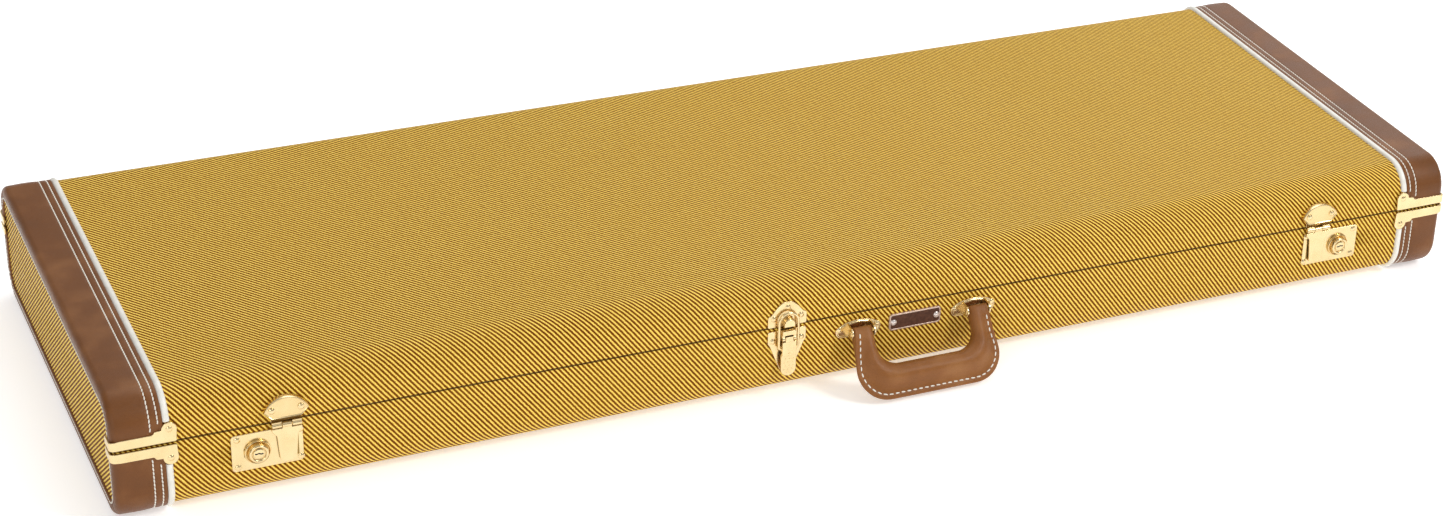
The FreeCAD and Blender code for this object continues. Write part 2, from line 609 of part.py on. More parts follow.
def handle_brackets():
    """Riveted brackets with two ears each, and the pins that the handle turns on."""
    brackets, pins = [], []
    for side, name in (("-", "left"), ("+", "right")):
        x = f"(handle_x {side} bracket_half)"
        plate = front_plate([
            ("-15", "pivot_z - 7"), ("15", "pivot_z - 7", "4.9"), ("17.5", "pivot_z + 2.2", "29"),
            ("-17.5", "pivot_z + 2.2", "4.9"),
        ], x, "0", "bracket_metal")
        pieces = [plate]
        ear_z = ("pivot_z - ear_radius", "pivot_z + ear_radius")
        for low_x in (f"{x} - ear_start - sheet_metal", f"{x} + ear_start"):
            ear_x = (low_x, f"{low_x} + sheet_metal")
            pieces.append(block(ear_x, (ahead("pivot_out"), ahead("0.5")), ear_z))
            pieces.append(rod("x", "ear_radius", (low_x, ahead("pivot_out"), "pivot_z"), "sheet_metal"))
        bore = rod("x", "handle_pin", (f"{x} - 12", ahead("pivot_out"), "pivot_z"), "24")
        brackets.append(node(f"handle_bracket_{name}", cut(fuse(*pieces), bore)))
        pins.append(rod("x", "handle_pin", (f"{x} - pin_half", ahead("pivot_out"), "pivot_z"), "2 * pin_half"))
    node("handle_pins", group(*pins))


def handle_grip():
    """The padded handle, drawn hanging straight down from its pins and then turned up to its droop."""
    outer, reach, inner = "handle_half", "handle_reach", "(handle_reach - grip_depth)"
    arm, arm_in = "(bracket_half + arm_half)", "(bracket_half - arm_half)"
    r_out, r_in = "grip_outer", "grip_inner"
    corners = [
        (f"-{arm}", "0"), (f"-{outer}", f"{r_out} - {reach}", r_out), (f"{r_out} - {outer}", f"-{reach}"),
        (f"{outer} - {r_out}", f"-{reach}", r_out), (outer, f"{r_out} - {reach}"), (arm, "0"), (arm_in, "0"),
        (arm_in, f"{r_in} - {inner}", f"-{r_in}"), (f"{arm_in} - {r_in}", f"-{inner}"),
        (f"{r_in} - {arm_in}", f"-{inner}", f"-{r_in}"), (f"-{arm_in}", f"{r_in} - {inner}"), (f"-{arm_in}", "0"),
    ]
    loop = profile("XZ_Plane", corners, ("0", "arm_thick / 2", "0"), "arm_thick")
    roll = rod("x", "grip_radius", ("-36", "0", "grip_depth / 2 + 0.5 - handle_reach"), "72")
    pieces = [loop, roll]
    bores = []
    for side in "-+":
        x = f"{side} bracket_half"
        pieces.append(rod("x", "arm_thick / 2", (f"{x} - arm_half", "0", "0"), "2 * arm_half"))
        bores.append(rod("x", "handle_pin + fit_gap", (f"{x} - arm_half - 1", "0", "0"), "2 * arm_half + 2"))
    grip = place(group(cut(fuse(*pieces), *bores)), ("handle_x", ahead("pivot_out"), "pivot_z"),
                 Rotation(Vector(-1, 0, 0), value("90 - handle_droop")))
    node("handle_grip", bind(grip, {"Placement.Rotation.Angle": "90 - handle_droop"}))


def badge():
    """A plain name plate between the brackets."""
    corners = [
        ("-19", "39"), ("19", "39", "2"), ("21", "41"), ("21", "50.5", "2"), ("19", "52.5"),
        ("-19", "52.5", "2"), ("-21", "50.5"), ("-21", "41", "2"),
    ]
    node("badge_plate", front_plate(corners, "badge_x", "0", "bracket_metal"))


def hinges():
    """Three butt hinges on the back: lower leaves with two knuckles, upper leaves with one, and pins."""
    lower, upper, pins = [], [], []
    for number in (-1, 0, 1):
        x = f"({number} * hinge_step)"
        leaf_x = (f"{x} - hinge_half", f"{x} + hinge_half")
        leaf_y = (REAR, behind("sheet_metal"))
        web_y = (REAR, behind("2.4"))
        down = [block(leaf_x, leaf_y, ("split - leaf", "split - leaf_start"))]
        for low_x in (f"{x} - hinge_half", f"{x} + hinge_joint"):
            down.append(rod("x", "knuckle", (low_x, behind("hinge_out"), "split"), "hinge_half - hinge_joint"))
            down.append(block((low_x, f"{low_x} + hinge_half - hinge_joint"), web_y, ("split - leaf_start", "split")))
        bore = rod("x", "hinge_pin", (f"{x} - 22", behind("hinge_out"), "split"), "44")
        lower.append(cut(fuse(*down), bore))
        up = [
            block(leaf_x, leaf_y, ("split + leaf_start", "split + leaf")),
            rod("x", "knuckle", (f"{x} - hinge_upper", behind("hinge_out"), "split"), "2 * hinge_upper"),
            block((f"{x} - hinge_upper", f"{x} + hinge_upper"), web_y, ("split", "split + leaf_start")),
        ]
        running = rod("x", "hinge_pin + fit_gap", (f"{x} - 8", behind("hinge_out"), "split"), "16")
        upper.append(cut(fuse(*up), running))
        pins.append(rod("x", "hinge_pin", (f"{x} - hinge_half", behind("hinge_out"), "split"), "2 * hinge_half"))
    node("lower_hinge_leaves", group(*lower))
    node("upper_hinge_leaves", group(*upper))
    node("hinge_pins", group(*pins))


def rivets():
    """Every rivet of the base, and every rivet of the lid."""
    base, lid = [], []
    clamp_out = "leather + clamp_metal"
    for side in "-+":
        for x in ("lock_inner + 1.9", "lock_outer - 4.1"):
            for z in ("lock_low + 3.2", "lock_high - 3.6"):
                base.append(rivet(f"{side}({x})", z, "sheet_metal"))
        base.append(rivet(f"latch_x {side} latch_rivet", "48.8", "sheet_metal"))
        base.append(rivet(f"badge_x {side} 17.5", "45.7", "bracket_metal"))
        for x in ("-15", "15"):
            base.append(rivet(f"handle_x {side} bracket_half + {x}", "pivot_z + 0.4", "bracket_metal"))
        lid.append(rivet(f"latch_x {side} 10.6", "67.2", "sheet_metal"))
        for x in ("-10.1", "10.1"):
            lid.append(rivet(f"{side}hasp_x + {x}", "70.5", "crown_out"))
        for where in ("front", "rear"):
            base.append(rivet(f"{side}clamp_rivet_x", "split - clamp_rivet_rise", clamp_out, where))
            lid.append(rivet(f"{side}clamp_rivet_x", "split + clamp_rivet_rise", clamp_out, where))
    lid.append(rivet("latch_x", "75.2", "sheet_metal"))
    for number in (-1, 0, 1):
        for side in "-+":
            x = f"{number} * hinge_step {side} hinge_rivet_x"
            base.append(rivet(x, "split - hinge_rivet_rise", "sheet_metal", "rear"))
            lid.append(rivet(x, "split + hinge_rivet_rise", "sheet_metal", "rear"))
    node("base_rivets", group(*base))
    node("lid_rivets", group(*lid))


# ---- lining ----

def lining():
    """The padding of the base and the lid."""
    floor = "foot + tweed + panel"
    in_x = (f"-{INNER_HALF} + pad_gap", f"{INNER_HALF} - pad_gap")
    narrow = "(case_width / 2 - edge_radius)"
    node("floor_pad", block(in_x, (f"middle_y - {narrow}", f"middle_y + {narrow}"), (floor, f"{floor} + floor_pad")))
    pad_z = ("foot + edge_radius + pad_gap", "split - 2")
    front = block(in_x, (ahead(f"-{WALL_IN}"), ahead(f"-{WALL_IN} - side_pad")), pad_z)
    end_y = (ahead(f"-{WALL_IN} - side_pad - pad_gap"), behind(f"-{WALL_IN} - side_pad - pad_gap"))
    left = block((f"-{INNER_HALF}", f"-{INNER_HALF} + side_pad"), end_y, pad_z)
    node("wall_padding", group(front, front_to_rear(front), left, across_case(left)))
    lid_z = (f"{TOP} - tweed - panel - lid_pad", f"{TOP} - tweed - panel")
    node("lid_pad", block(in_x, (f"middle_y - {narrow}", f"middle_y + {narrow}"), lid_z))


def neck_supports():
    """The padded block beside the neck and the rest that the neck lies in."""
    floor = "(foot + tweed + panel + floor_pad)"
    pad_in = ahead(f"-{WALL_IN} - side_pad - pad_gap")
    corners = [
        (f"{pad_in} + moulding_room", floor), ("middle_y - channel_half", floor),
        ("middle_y - channel_half", "block_top"), (pad_in, "block_top"), (pad_in, f"{floor} + moulding_room"),
    ]
    side_block = profile("YZ_Plane", corners, ("neck_left", "0", "0"), "neck_right - neck_left")
    node("neck_side_block", side_block)
    rest = block(("neck_right - 70", "neck_right"), ("middle_y - channel_half", "middle_y + channel_half"),
                 (floor, "neck_rest_top"))
    hollow = rod("x", "60", ("neck_right - 75", "middle_y", "neck_rest_top + 54"), "80")
    node("neck_rest", cut(rest, hollow))


def accessory_box():
    """The compartment beside the neck, with its hinged lid and pull tab."""
    floor = "(foot + tweed + panel + floor_pad)"
    low_y, high_y = "middle_y + channel_half", behind(f"-{WALL_IN} - side_pad - pad_gap")
    full_x = ("neck_left", "neck_right")
    walls = [
        block(full_x, (low_y, f"{low_y} + box_wall"), (floor, "block_top")),
        block(full_x, (f"{high_y} - box_wall", high_y), (f"{floor} + moulding_room", "block_top")),
    ]
    for low_x in ("neck_left", "neck_right - box_wall"):
        between = (f"{low_y} + box_wall", f"{high_y} - box_wall")
        walls.append(block((low_x, f"{low_x} + box_wall"), between, (floor, "block_top")))
    node("accessory_box", group(*walls))
    lid_x = ("neck_left + 1", "neck_right - 1")
    lid_y = (f"{low_y} + 0.5", f"{high_y} - box_wall")
    node("accessory_lid", block(lid_x, lid_y, ("block_top + 0.2", "block_top + 0.2 + box_lid")))
    tab_x = ("(neck_left + neck_right) / 2 - 9", "(neck_left + neck_right) / 2 + 9")
    top = "block_top + 0.2 + box_lid"
    node("accessory_pull_tab", block(tab_x, (f"{low_y} - 8", f"{low_y} + 14"), (top, f"{top} + 1.2")))


def build():
    """Draws every sub-part."""
    for part in ("base", "lid"):
        wooden_shell(part)
        tweed_cover(part)
        leather_cap(part)
        piping(part)
    corner_clamps()
    lock_plate()
    lock_slide()
    key_plug()
    hasp()
    hasp_plate()
    draw_latch_plates()
    draw_lever()
    bail()
    handle_brackets()
    handle_grip()
    badge()
    hinges()
    rivets()
    lining()
    neck_supports()
    accessory_box()
    doc.recompute()


def check_and_export():
    """Stops on a failed object or a bad shape, and then writes one STEP file for each sub-part."""
    failed = [item.Label for item in doc.Objects if {"Invalid", "Error"} & set(item.State)]
    bad = [label for label, item in nodes.items() if item.Shape.isNull() or not item.Shape.isValid()]
    if failed or bad:
        raise RuntimeError(f"failed objects {failed}, bad shapes {bad}")
    os.makedirs("parts", exist_ok=True)
    whole = FreeCAD.BoundBox()
    for label, item in nodes.items():
        item.Shape.exportStep(f"parts/{label}.step")
        whole.add(item.Shape.BoundBox)
        print(f"{label}: {len(item.Shape.Solids)} solids, {item.Shape.Volume / 1000:.2f} cm3")
    print(f"{len(nodes)} sub-parts, {whole}")


build()
check_and_export()
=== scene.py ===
"""Looks of the guitar case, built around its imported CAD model. Lengths in the helpers are millimetres."""
import math
import random

import bmesh
import bpy
import numpy as np
from mathutils import Matrix, Vector


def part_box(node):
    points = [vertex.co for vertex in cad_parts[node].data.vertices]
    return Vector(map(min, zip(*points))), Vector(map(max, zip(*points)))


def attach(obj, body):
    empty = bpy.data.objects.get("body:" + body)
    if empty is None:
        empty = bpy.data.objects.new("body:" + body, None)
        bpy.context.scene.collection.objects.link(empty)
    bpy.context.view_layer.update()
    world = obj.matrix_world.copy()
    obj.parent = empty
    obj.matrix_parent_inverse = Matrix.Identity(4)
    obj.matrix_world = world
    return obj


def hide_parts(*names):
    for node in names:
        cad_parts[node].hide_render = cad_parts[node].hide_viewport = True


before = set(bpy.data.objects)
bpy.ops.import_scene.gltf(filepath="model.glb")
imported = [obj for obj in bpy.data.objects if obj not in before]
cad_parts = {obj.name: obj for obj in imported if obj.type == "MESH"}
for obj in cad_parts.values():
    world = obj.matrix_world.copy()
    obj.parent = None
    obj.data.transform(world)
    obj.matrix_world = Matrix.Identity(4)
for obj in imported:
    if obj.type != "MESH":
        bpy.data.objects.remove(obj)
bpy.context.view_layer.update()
MM = 0.001


def span(node):
    """Lowest and highest corner of a CAD node, in millimetres."""
    low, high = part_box(node)
    return [value / MM for value in low], [value / MM for value in high]


# ---- the shell's planes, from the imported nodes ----
BASE_LOW, BASE_HIGH = span("base_tweed_cover")
LID_LOW, LID_HIGH = span("lid_tweed_cover")
END = BASE_HIGH[0]
FRONT = BASE_LOW[1]
REAR = BASE_HIGH[1]
MIDDLE = (FRONT + REAR) / 2
EDGE_RADIUS = 22
SPLIT = (BASE_HIGH[2] + LID_LOW[2]) / 2
FLAT = {"base": BASE_LOW[2], "lid": LID_HIGH[2]}
EDGE = {"base": BASE_HIGH[2], "lid": LID_LOW[2]}
UP = {"base": -1, "lid": 1}
ARC = math.pi / 2 * EDGE_RADIUS
FLAT_RUN = REAR - FRONT - 2 * EDGE_RADIUS


# ---- materials ----

class Nodes:
    """A short way to write a material's node tree."""

    def __init__(self, name):
        self.material = bpy.data.materials.new(name)
        self.material.use_nodes = True
        self.tree = self.material.node_tree
        self.shader = self.tree.nodes["Principled BSDF"]

    def add(self, kind, inputs=None, **settings):
        node = self.tree.nodes.new(f"ShaderNode{kind}")
        for key, setting in settings.items():
            setattr(node, key, setting)
        for key, value in (inputs or {}).items():
            self.feed(node.inputs[key], value)
        return node

    def feed(self, socket, value):
        if isinstance(value, bpy.types.NodeSocket):
            self.tree.links.new(value, socket)
        else:
            socket.default_value = value

    def math(self, operation, first, second=0.0, third=0.0):
        node = self.add("Math", {0: first, 1: second, 2: third}, operation=operation)
        return node.outputs[0]

    def plus(self, first, second):
        return self.math("ADD", first, second)

    def minus(self, first, second):
        return self.math("SUBTRACT", first, second)

    def times(self, first, second):
        return self.math("MULTIPLY", first, second)

    def fit(self, value, scale, offset):
        """value * scale + offset."""
        return self.math("MULTIPLY_ADD", value, scale, offset)

    def clamp(self, value, low, high):
        return self.math("MINIMUM", self.math("MAXIMUM", value, low), high)

    def ramp(self, factor, stops):
        node = self.add("ValToRGB", {"Fac": factor})
        elements = node.color_ramp.elements
        while len(elements) < len(stops):
            elements.new(0.5)
        for element, (position, colour) in zip(elements, stops):
            element.position = position
            element.color = (*colour, 1)
        return node.outputs["Color"]

    def mix(self, factor, first, second, blend="MIX"):
        node = self.add("Mix", data_type="RGBA", blend_type=blend)
        for socket, value in ((node.inputs[0], factor), (node.inputs[6], first), (node.inputs[7], second)):
            if isinstance(value, tuple):
                value = (*value, 1)
            self.feed(socket, value)
        return node.outputs[2]

    def noise(self, scale, detail=2.0, vector=None, roughness=0.5):
        node = self.add("TexNoise", {"Scale": scale, "Detail": detail, "Roughness": roughness})
        self.feed(node.inputs["Vector"], vector or self.place())
        return node.outputs["Fac"]

    def shade(self, colour, light):
        """The colour, darkened or lightened by a factor."""
        grey = self.add("CombineXYZ", {0: light, 1: light, 2: light}).outputs[0]
        return self.mix(1.0, colour, grey, "MULTIPLY")

    def place(self):
        """Position on the piece at rest, in metres."""
        if not hasattr(self, "coordinates"):
            self.coordinates = self.add("TexCoord").outputs["Object"]
        return self.coordinates

    def bump(self, height, strength, distance, normal=None):
        inputs = {"Height": height, "Strength": strength, "Distance": distance}
        if normal is not None:
            inputs["Normal"] = normal
        return self.add("Bump", inputs).outputs["Normal"]

    def finish(self, **sockets):
        for key, value in sockets.items():
            self.feed(self.shader.inputs[key.replace("_", " ")], value)
        return self.material


def tweed():
    """Two-and-two twill in dull yellow and brown yarn, with painted shade along the parting edge where the
    cloth turns into the gap.
    """
    n = Nodes("tweed")
    pitch_across, pitch_up = 0.867, 1.128
    gap_shade_width = 0.62
    place = n.add("UVMap", uv_map="weave").outputs["UV"]
    wobble = n.noise(0.35, 2, place)
    split = n.add("SeparateXYZ", {0: place})
    shift = n.fit(wobble, 0.5, -0.25)
    across = n.plus(n.math("DIVIDE", split.outputs["X"], pitch_across), shift)
    up = n.plus(n.math("DIVIDE", split.outputs["Y"], pitch_up), shift)
    steps = n.plus(n.math("FLOOR", across), n.math("FLOOR", up))
    stepped = n.math("LESS_THAN", n.math("FLOORED_MODULO", steps, 4.0), 2.0)
    turn = n.times(n.plus(across, up), math.pi / 2)
    smooth = n.fit(n.math("SINE", turn), 0.62, 0.52)
    over = n.plus(n.times(stepped, 0.28), n.times(smooth, 0.72))
    warp = n.math("SINE", n.times(n.math("FRACT", across), math.pi))
    weft = n.math("SINE", n.times(n.math("FRACT", up), math.pi))
    yarn = n.add("Mix", {0: stepped, 2: weft, 3: warp}).outputs[0]
    fibre = n.noise(3.2, 3, place)
    colour = n.ramp(over, [
        (0.0, (0.10, 0.020, 0.0002)), (0.3, (0.21, 0.060, 0.0004)),
        (0.6, (0.65, 0.315, 0.010)), (1.0, (1.0, 0.75, 0.165)),
    ])
    # painted shade between the yarns, darker in the gaps, mixed with random fibre tone
    light = n.fit(n.plus(n.times(yarn, 0.5), fibre), 0.34, 0.72)
    colour = n.shade(colour, light)
    cloud = n.noise(0.012, 3, place)
    colour = n.mix(n.fit(cloud, 0.3, -0.08), colour, (0.50, 0.27, 0.02))
    # painted shade: the turned-in edge at the parting gap is darkened, standing in for the shade between base
    # and lid
    from_fold = n.math("ABSOLUTE", n.minus(split.outputs["Y"], SPLIT))
    gap_shade = n.times(n.math("LESS_THAN", from_fold, gap_shade_width), 0.75)
    colour = n.mix(gap_shade, colour, (0.035, 0.012, 0.001))
    height = n.plus(n.times(yarn, 0.55), n.times(over, 0.6))
    rough = n.fit(yarn, -0.12, 0.62)
    return n.finish(Base_Color=colour, Roughness=rough, Normal=n.bump(height, 0.75, 0.00028),
                    Specular_IOR_Level=0.08)


def leather(name, colour, worn, rough):
    """Brown grained leather with pores, soft folds and lighter rubbed places."""
    n = Nodes(name)
    cells = n.add("TexVoronoi", {"Scale": 1500.0, "Vector": n.place()}, feature="DISTANCE_TO_EDGE")
    pores = n.math("MINIMUM", n.times(cells.outputs["Distance"], 6.0), 1.0)
    fine = n.noise(2600.0, 3)
    folds = n.noise(55.0, 4)
    patches = n.noise(14.0, 4)
    tone = n.fit(folds, 0.5, n.times(patches, 0.5))
    mixed = n.ramp(tone, [(0.3, tuple(c * 0.8 for c in colour)), (0.52, colour), (0.75, worn)])
    edge = n.add("NewGeometry").outputs["Pointiness"]
    rubbed = n.clamp(n.times(n.minus(edge, 0.512), 9.0), 0.0, 0.45)
    mixed = n.mix(rubbed, mixed, worn)
    mixed = n.shade(mixed, n.fit(pores, 0.22, 0.78))
    roughness = n.fit(folds, 0.2, rough)
    grain = n.bump(n.plus(pores, n.times(fine, 0.4)), 0.35, 0.00012)
    return n.finish(Base_Color=mixed, Roughness=roughness, Normal=n.bump(folds, 0.18, 0.0012, grain),
                    Specular_IOR_Level=0.28)


def gold(name, colour, deep, rough):
    """Thin polished plate: faint clouding, hairline scratches and darker metal in the corners."""
    n = Nodes(name)
    cloud = n.noise(90.0, 4)
    stretched = n.add("Mapping", {"Vector": n.place(), "Scale": (140.0, 900.0, 2600.0)}).outputs[0]
    scratch = n.noise(1.0, 3, stretched)
    edge = n.add("NewGeometry").outputs["Pointiness"]
    low = n.clamp(n.times(n.minus(0.49, edge), 9.0), 0.0, 0.8)
    tone = n.mix(n.fit(cloud, 0.5, -0.1), colour, deep)
    tone = n.mix(low, tone, deep)
    roughness = n.plus(n.fit(cloud, 0.16, rough), n.times(scratch, 0.08))
    return n.finish(Base_Color=tone, Metallic=1.0, Roughness=roughness, Normal=n.bump(scratch, 0.05, 0.00005))


def plain(name, colours, rough, scale, depth, **sockets):
    """A surface with fine mottling and its own bump."""
    n = Nodes(name)
    mottle = n.noise(scale, 4)
    tone = n.ramp(mottle, [(0.35, colours[0]), (0.65, colours[1])])
    return n.finish(Base_Color=tone, Roughness=n.fit(mottle, 0.15, rough),
                    Normal=n.bump(mottle, 0.3, depth), **sockets)


PILE_STOPS = [(0.3, (0.10, 0.006, 0.008)), (0.5, (0.26, 0.018, 0.018)), (0.72, (0.42, 0.045, 0.035))]
SWIRLS = 26.0


def lined_plywood(half_length, half_width):
    """Birch ply with fine streaks and darker bands; red pile covers it inside the half sizes."""
    n = Nodes("lined_plywood")
    grain_place = n.add("Mapping", {"Vector": n.place(), "Scale": (6.0, 160.0, 160.0)}).outputs[0]
    grain = n.noise(1.0, 6, grain_place, roughness=0.65)
    bands = n.add("TexWave", {"Vector": grain_place, "Scale": 0.35, "Distortion": 6.0, "Detail": 3.0})
    ply = n.ramp(n.fit(bands.outputs["Fac"], 0.4, n.times(grain, 0.6)), [
        (0.2, (0.34, 0.18, 0.07)), (0.5, (0.55, 0.34, 0.16)), (0.85, (0.68, 0.47, 0.26)),
    ])
    split = n.add("SeparateXYZ", {0: n.place()})
    along = n.minus(n.math("ABSOLUTE", split.outputs["X"]), half_length * MM)
    across = n.math("ABSOLUTE", n.minus(split.outputs["Y"], MIDDLE * MM))
    across = n.minus(across, half_width * MM)
    inside = n.math("LESS_THAN", n.math("MAXIMUM", along, across), 0.25 * MM)
    tone = n.mix(inside, ply, n.ramp(n.noise(SWIRLS, 5), PILE_STOPS))
    return n.finish(Base_Color=tone, Roughness=n.fit(grain, 0.2, 0.55), Normal=n.bump(grain, 0.4, 0.0003))


def plush():
    """Deep red short pile, with brushed lighter and darker swirls."""
    n = Nodes("plush")
    swirl = n.noise(SWIRLS, 5)
    pile = n.noise(2400.0, 2)
    tone = n.ramp(n.fit(swirl, 0.7, n.times(pile, 0.3)), PILE_STOPS)
    normal = n.bump(pile, 0.35, 0.0003, n.bump(swirl, 0.25, 0.002))
    return n.finish(Base_Color=tone, Roughness=n.fit(swirl, 0.06, 0.92), Normal=normal, Sheen_Weight=1.0,
                    Sheen_Roughness=0.45, Sheen_Tint=(0.9, 0.3, 0.25, 1.0), Specular_IOR_Level=0.05)


TWEED = tweed()
LEATHER = leather("leather", (0.178, 0.060, 0.011), (0.275, 0.112, 0.034), 0.29)
GRIP_LEATHER = leather("grip_leather", (0.258, 0.093, 0.020), (0.345, 0.145, 0.042), 0.27)
GOLD = gold("gold", (0.83, 0.665, 0.38), (0.60, 0.38, 0.11), 0.13)
# painted shade and dark reflection: a dark gold for places that look dark only from shade or reflected dark
# surroundings
SHADE_GOLD = gold("painted_shade_gold", (0.34, 0.22, 0.07), (0.14, 0.08, 0.02), 0.22)
SILVER = gold("badge_rivets", (0.86, 0.78, 0.74), (0.45, 0.34, 0.28), 0.2)
PIPING = plain("piping", ((0.76, 0.74, 0.67), (0.83, 0.81, 0.75)), 0.32, 160.0, 0.0002,
               Coat_Weight=0.25, Coat_Roughness=0.25)
THREAD = plain("thread", ((0.74, 0.70, 0.60), (0.88, 0.85, 0.77)), 0.7, 2400.0, 0.0001, Sheen_Weight=0.2)
BADGE = plain("badge_field", ((0.066, 0.022, 0.010), (0.105, 0.040, 0.020)), 0.4, 420.0, 0.00008,
              Specular_IOR_Level=0.25)
BADGE_RIM = plain("badge_border", ((0.55, 0.40, 0.32), (0.66, 0.50, 0.41)), 0.28, 300.0, 0.00008,
                  Metallic=0.7)
# painted shade: a flat dark patch stands for the shade inside the keyhole
KEYHOLE_SHADE = plain("keyhole", ((0.012, 0.008, 0.005), (0.03, 0.02, 0.012)), 0.5, 800.0, 0.00005)
LINED = lined_plywood(abs(span("base_left_end_wall")[1][0]), abs(span("base_front_wall")[1][1] - MIDDLE))
PLUSH = plush()


# ---- mesh helpers ----

def new_object(name, mesh, materials, sharp=None):
    """Links a mesh as a smooth-shaded object."""
    piece = bpy.data.objects.new(name, mesh)
    bpy.context.scene.collection.objects.link(piece)
    for material in materials:
        mesh.materials.append(material)
    mesh.shade_smooth()
    if sharp is not None:
        mesh.set_sharp_from_angle(angle=math.radians(sharp))
    return piece


def from_bmesh(name, bm, materials, sharp=40, weighted=True):
    """An object from a bmesh in millimetres."""
    bmesh.ops.recalc_face_normals(bm, faces=bm.faces)
    bmesh.ops.scale(bm, vec=(MM, MM, MM), verts=bm.verts)
    mesh = bpy.data.meshes.new(name)
    bm.to_mesh(mesh)
    bm.free()
    piece = new_object(name, mesh, materials, sharp)
    if weighted:
        piece.modifiers.new("shading", "WEIGHTED_NORMAL").keep_sharp = True
    return piece


def settle(piece, body, slot_name, *nodes):
    """Says what a piece moves with and hides the CAD nodes it stands for; slot_name, what it is made of, is
    not used.
    """
    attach(piece, body)
    if nodes:
        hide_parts(*nodes)
    return piece


def metal(name, bm, body, node, sharp=40, weighted=True, second=None):
    """A gold piece that stands for one CAD node; second is the material of faces with index 1."""
    materials = [GOLD, second] if second else [GOLD]
    settle(from_bmesh(name, bm, materials, sharp, weighted), body, "gold", node)


def grid(bm, rows, loop=True, caps=True, wrap=False):
    """Faces between rows of points; loop closes each row, wrap joins the last row to the first."""
    made = [[bm.verts.new(point) for point in row] for row in rows]
    count = len(made[0])
    pairs = list(zip(made, made[1:])) + ([(made[-1], made[0])] if wrap else [])
    for first, second in pairs:
        for k in range(count if loop else count - 1):
            after = (k + 1) % count
            bm.faces.new((first[k], first[after], second[after], second[k]))
    if caps and loop and not wrap:
        bm.faces.new(made[0])
        bm.faces.new(made[-1])
    return made


def arc(centre, radius, start, end, count):
    """Points on an arc; angles in degrees."""
    cx, cy = centre
    angles = [math.radians(start + (end - start) * k / count) for k in range(count + 1)]
    return [(cx + radius * math.cos(angle), cy + radius * math.sin(angle)) for angle in angles]


def rounded(corners, count=6):
    """A closed outline with each corner (a, b, radius) rounded off."""
    outline = []
    for k, (a, b, radius) in enumerate(corners):
        here = Vector((a, b))
        before = Vector(corners[k - 1][:2]) - here
        after = Vector(corners[(k + 1) % len(corners)][:2]) - here
        if radius <= 0:
            outline.append((a, b))
            continue
        half = before.angle(after) / 2
        reach = min(radius / math.tan(half), before.length * 0.49, after.length * 0.49)
        true_radius = reach * math.tan(half)
        centre = here + (before.normalized() + after.normalized()).normalized() * true_radius / math.sin(half)
        first, last = here + before.normalized() * reach, here + after.normalized() * reach
        start, end = first - centre, last - centre
        turn = start.angle_signed(end)
        for step in range(count + 1):
            angle = -turn * step / count
            x = start.x * math.cos(angle) - start.y * math.sin(angle)
            y = start.x * math.sin(angle) + start.y * math.cos(angle)
            outline.append((centre.x + x, centre.y + y))
    return outline


def symmetric(half, count=6):
    """A rounded outline from the corners of its right half, bottom to top; the middle is at a = 0."""
    mirrored = [(-a, b, radius) for a, b, radius in half if a]
    return rounded(mirrored[:1] + half + mirrored[:0:-1], count)


def plate_outline(low, high, radius):
    """The front view of a box, with rounded corners."""
    return rounded([(low[0], low[2], radius), (high[0], low[2], radius), (high[0], high[2], radius),
                    (low[0], high[2], radius)])


def emboss(bm, outline, steps, to_world, bisect=(), tags=None):
    """A pressed plate: the outline raised through (inset, height) steps, then placed in the frame."""
    own = bmesh.new()
    face = own.faces.new([own.verts.new((a, b, 0)) for a, b in outline])
    own.faces.new([own.verts.new((a, b, 0)) for a, b in reversed(outline)])
    for number, (inset, height) in enumerate(steps):
        old = set(own.faces)
        bmesh.ops.inset_individual(
            own, faces=[face], thickness=max(inset, 1e-4), depth=0, use_even_offset=True)
        for vert in face.verts:
            vert.co.z = height
        if tags:
            for made in set(own.faces) - old:
                made.material_index = tags[number]
            face.material_index = tags[-1]
    bmesh.ops.remove_doubles(own, verts=own.verts, dist=1e-3)
    for a in bisect:
        everything = own.verts[:] + own.edges[:] + own.faces[:]
        bmesh.ops.bisect_plane(own, geom=everything, plane_co=(a, 0, 0), plane_no=(1, 0, 0))
    bmesh.ops.recalc_face_normals(own, faces=own.faces)
    for vert in own.verts:
        vert.co = to_world(*vert.co)
    merge(bm, own)


def merge(bm, own):
    """Adds one bmesh to another and frees it."""
    bmesh.ops.recalc_face_normals(own, faces=own.faces)
    scratch = bpy.data.meshes.new("scratch")
    own.to_mesh(scratch)
    own.free()
    bm.from_mesh(scratch)
    bpy.data.meshes.remove(scratch)


def lathe(bm, profile, to_world, count=28, tag=0):
    """Turns (radius, height) points about the local height axis; the first and last radius may be zero."""
    own = bmesh.new()
    rings = []
    for radius, height in profile:
        if radius < 1e-6:
            rings.append([own.verts.new((0, 0, height))])
        else:
            turn = [2 * math.pi * k / count for k in range(count)]
            rings.append([own.verts.new((radius * math.cos(t), radius * math.sin(t), height)) for t in turn])
    for first, second in zip(rings, rings[1:]):
        for k in range(count):
            after = (k + 1) % count
            if len(first) == 1:
                own.faces.new((first[0], second[k], second[after]))
            elif len(second) == 1:
                own.faces.new((first[k], first[after], second[0]))
            else:
                own.faces.new((first[k], first[after], second[after], second[k]))
    for ring in (rings[0], rings[-1]):
        if len(ring) > 1:
            own.faces.new(ring)
    for face in own.faces:
        face.material_index = tag
    for vert in own.verts:
        vert.co = to_world(*vert.co)
    merge(bm, own)


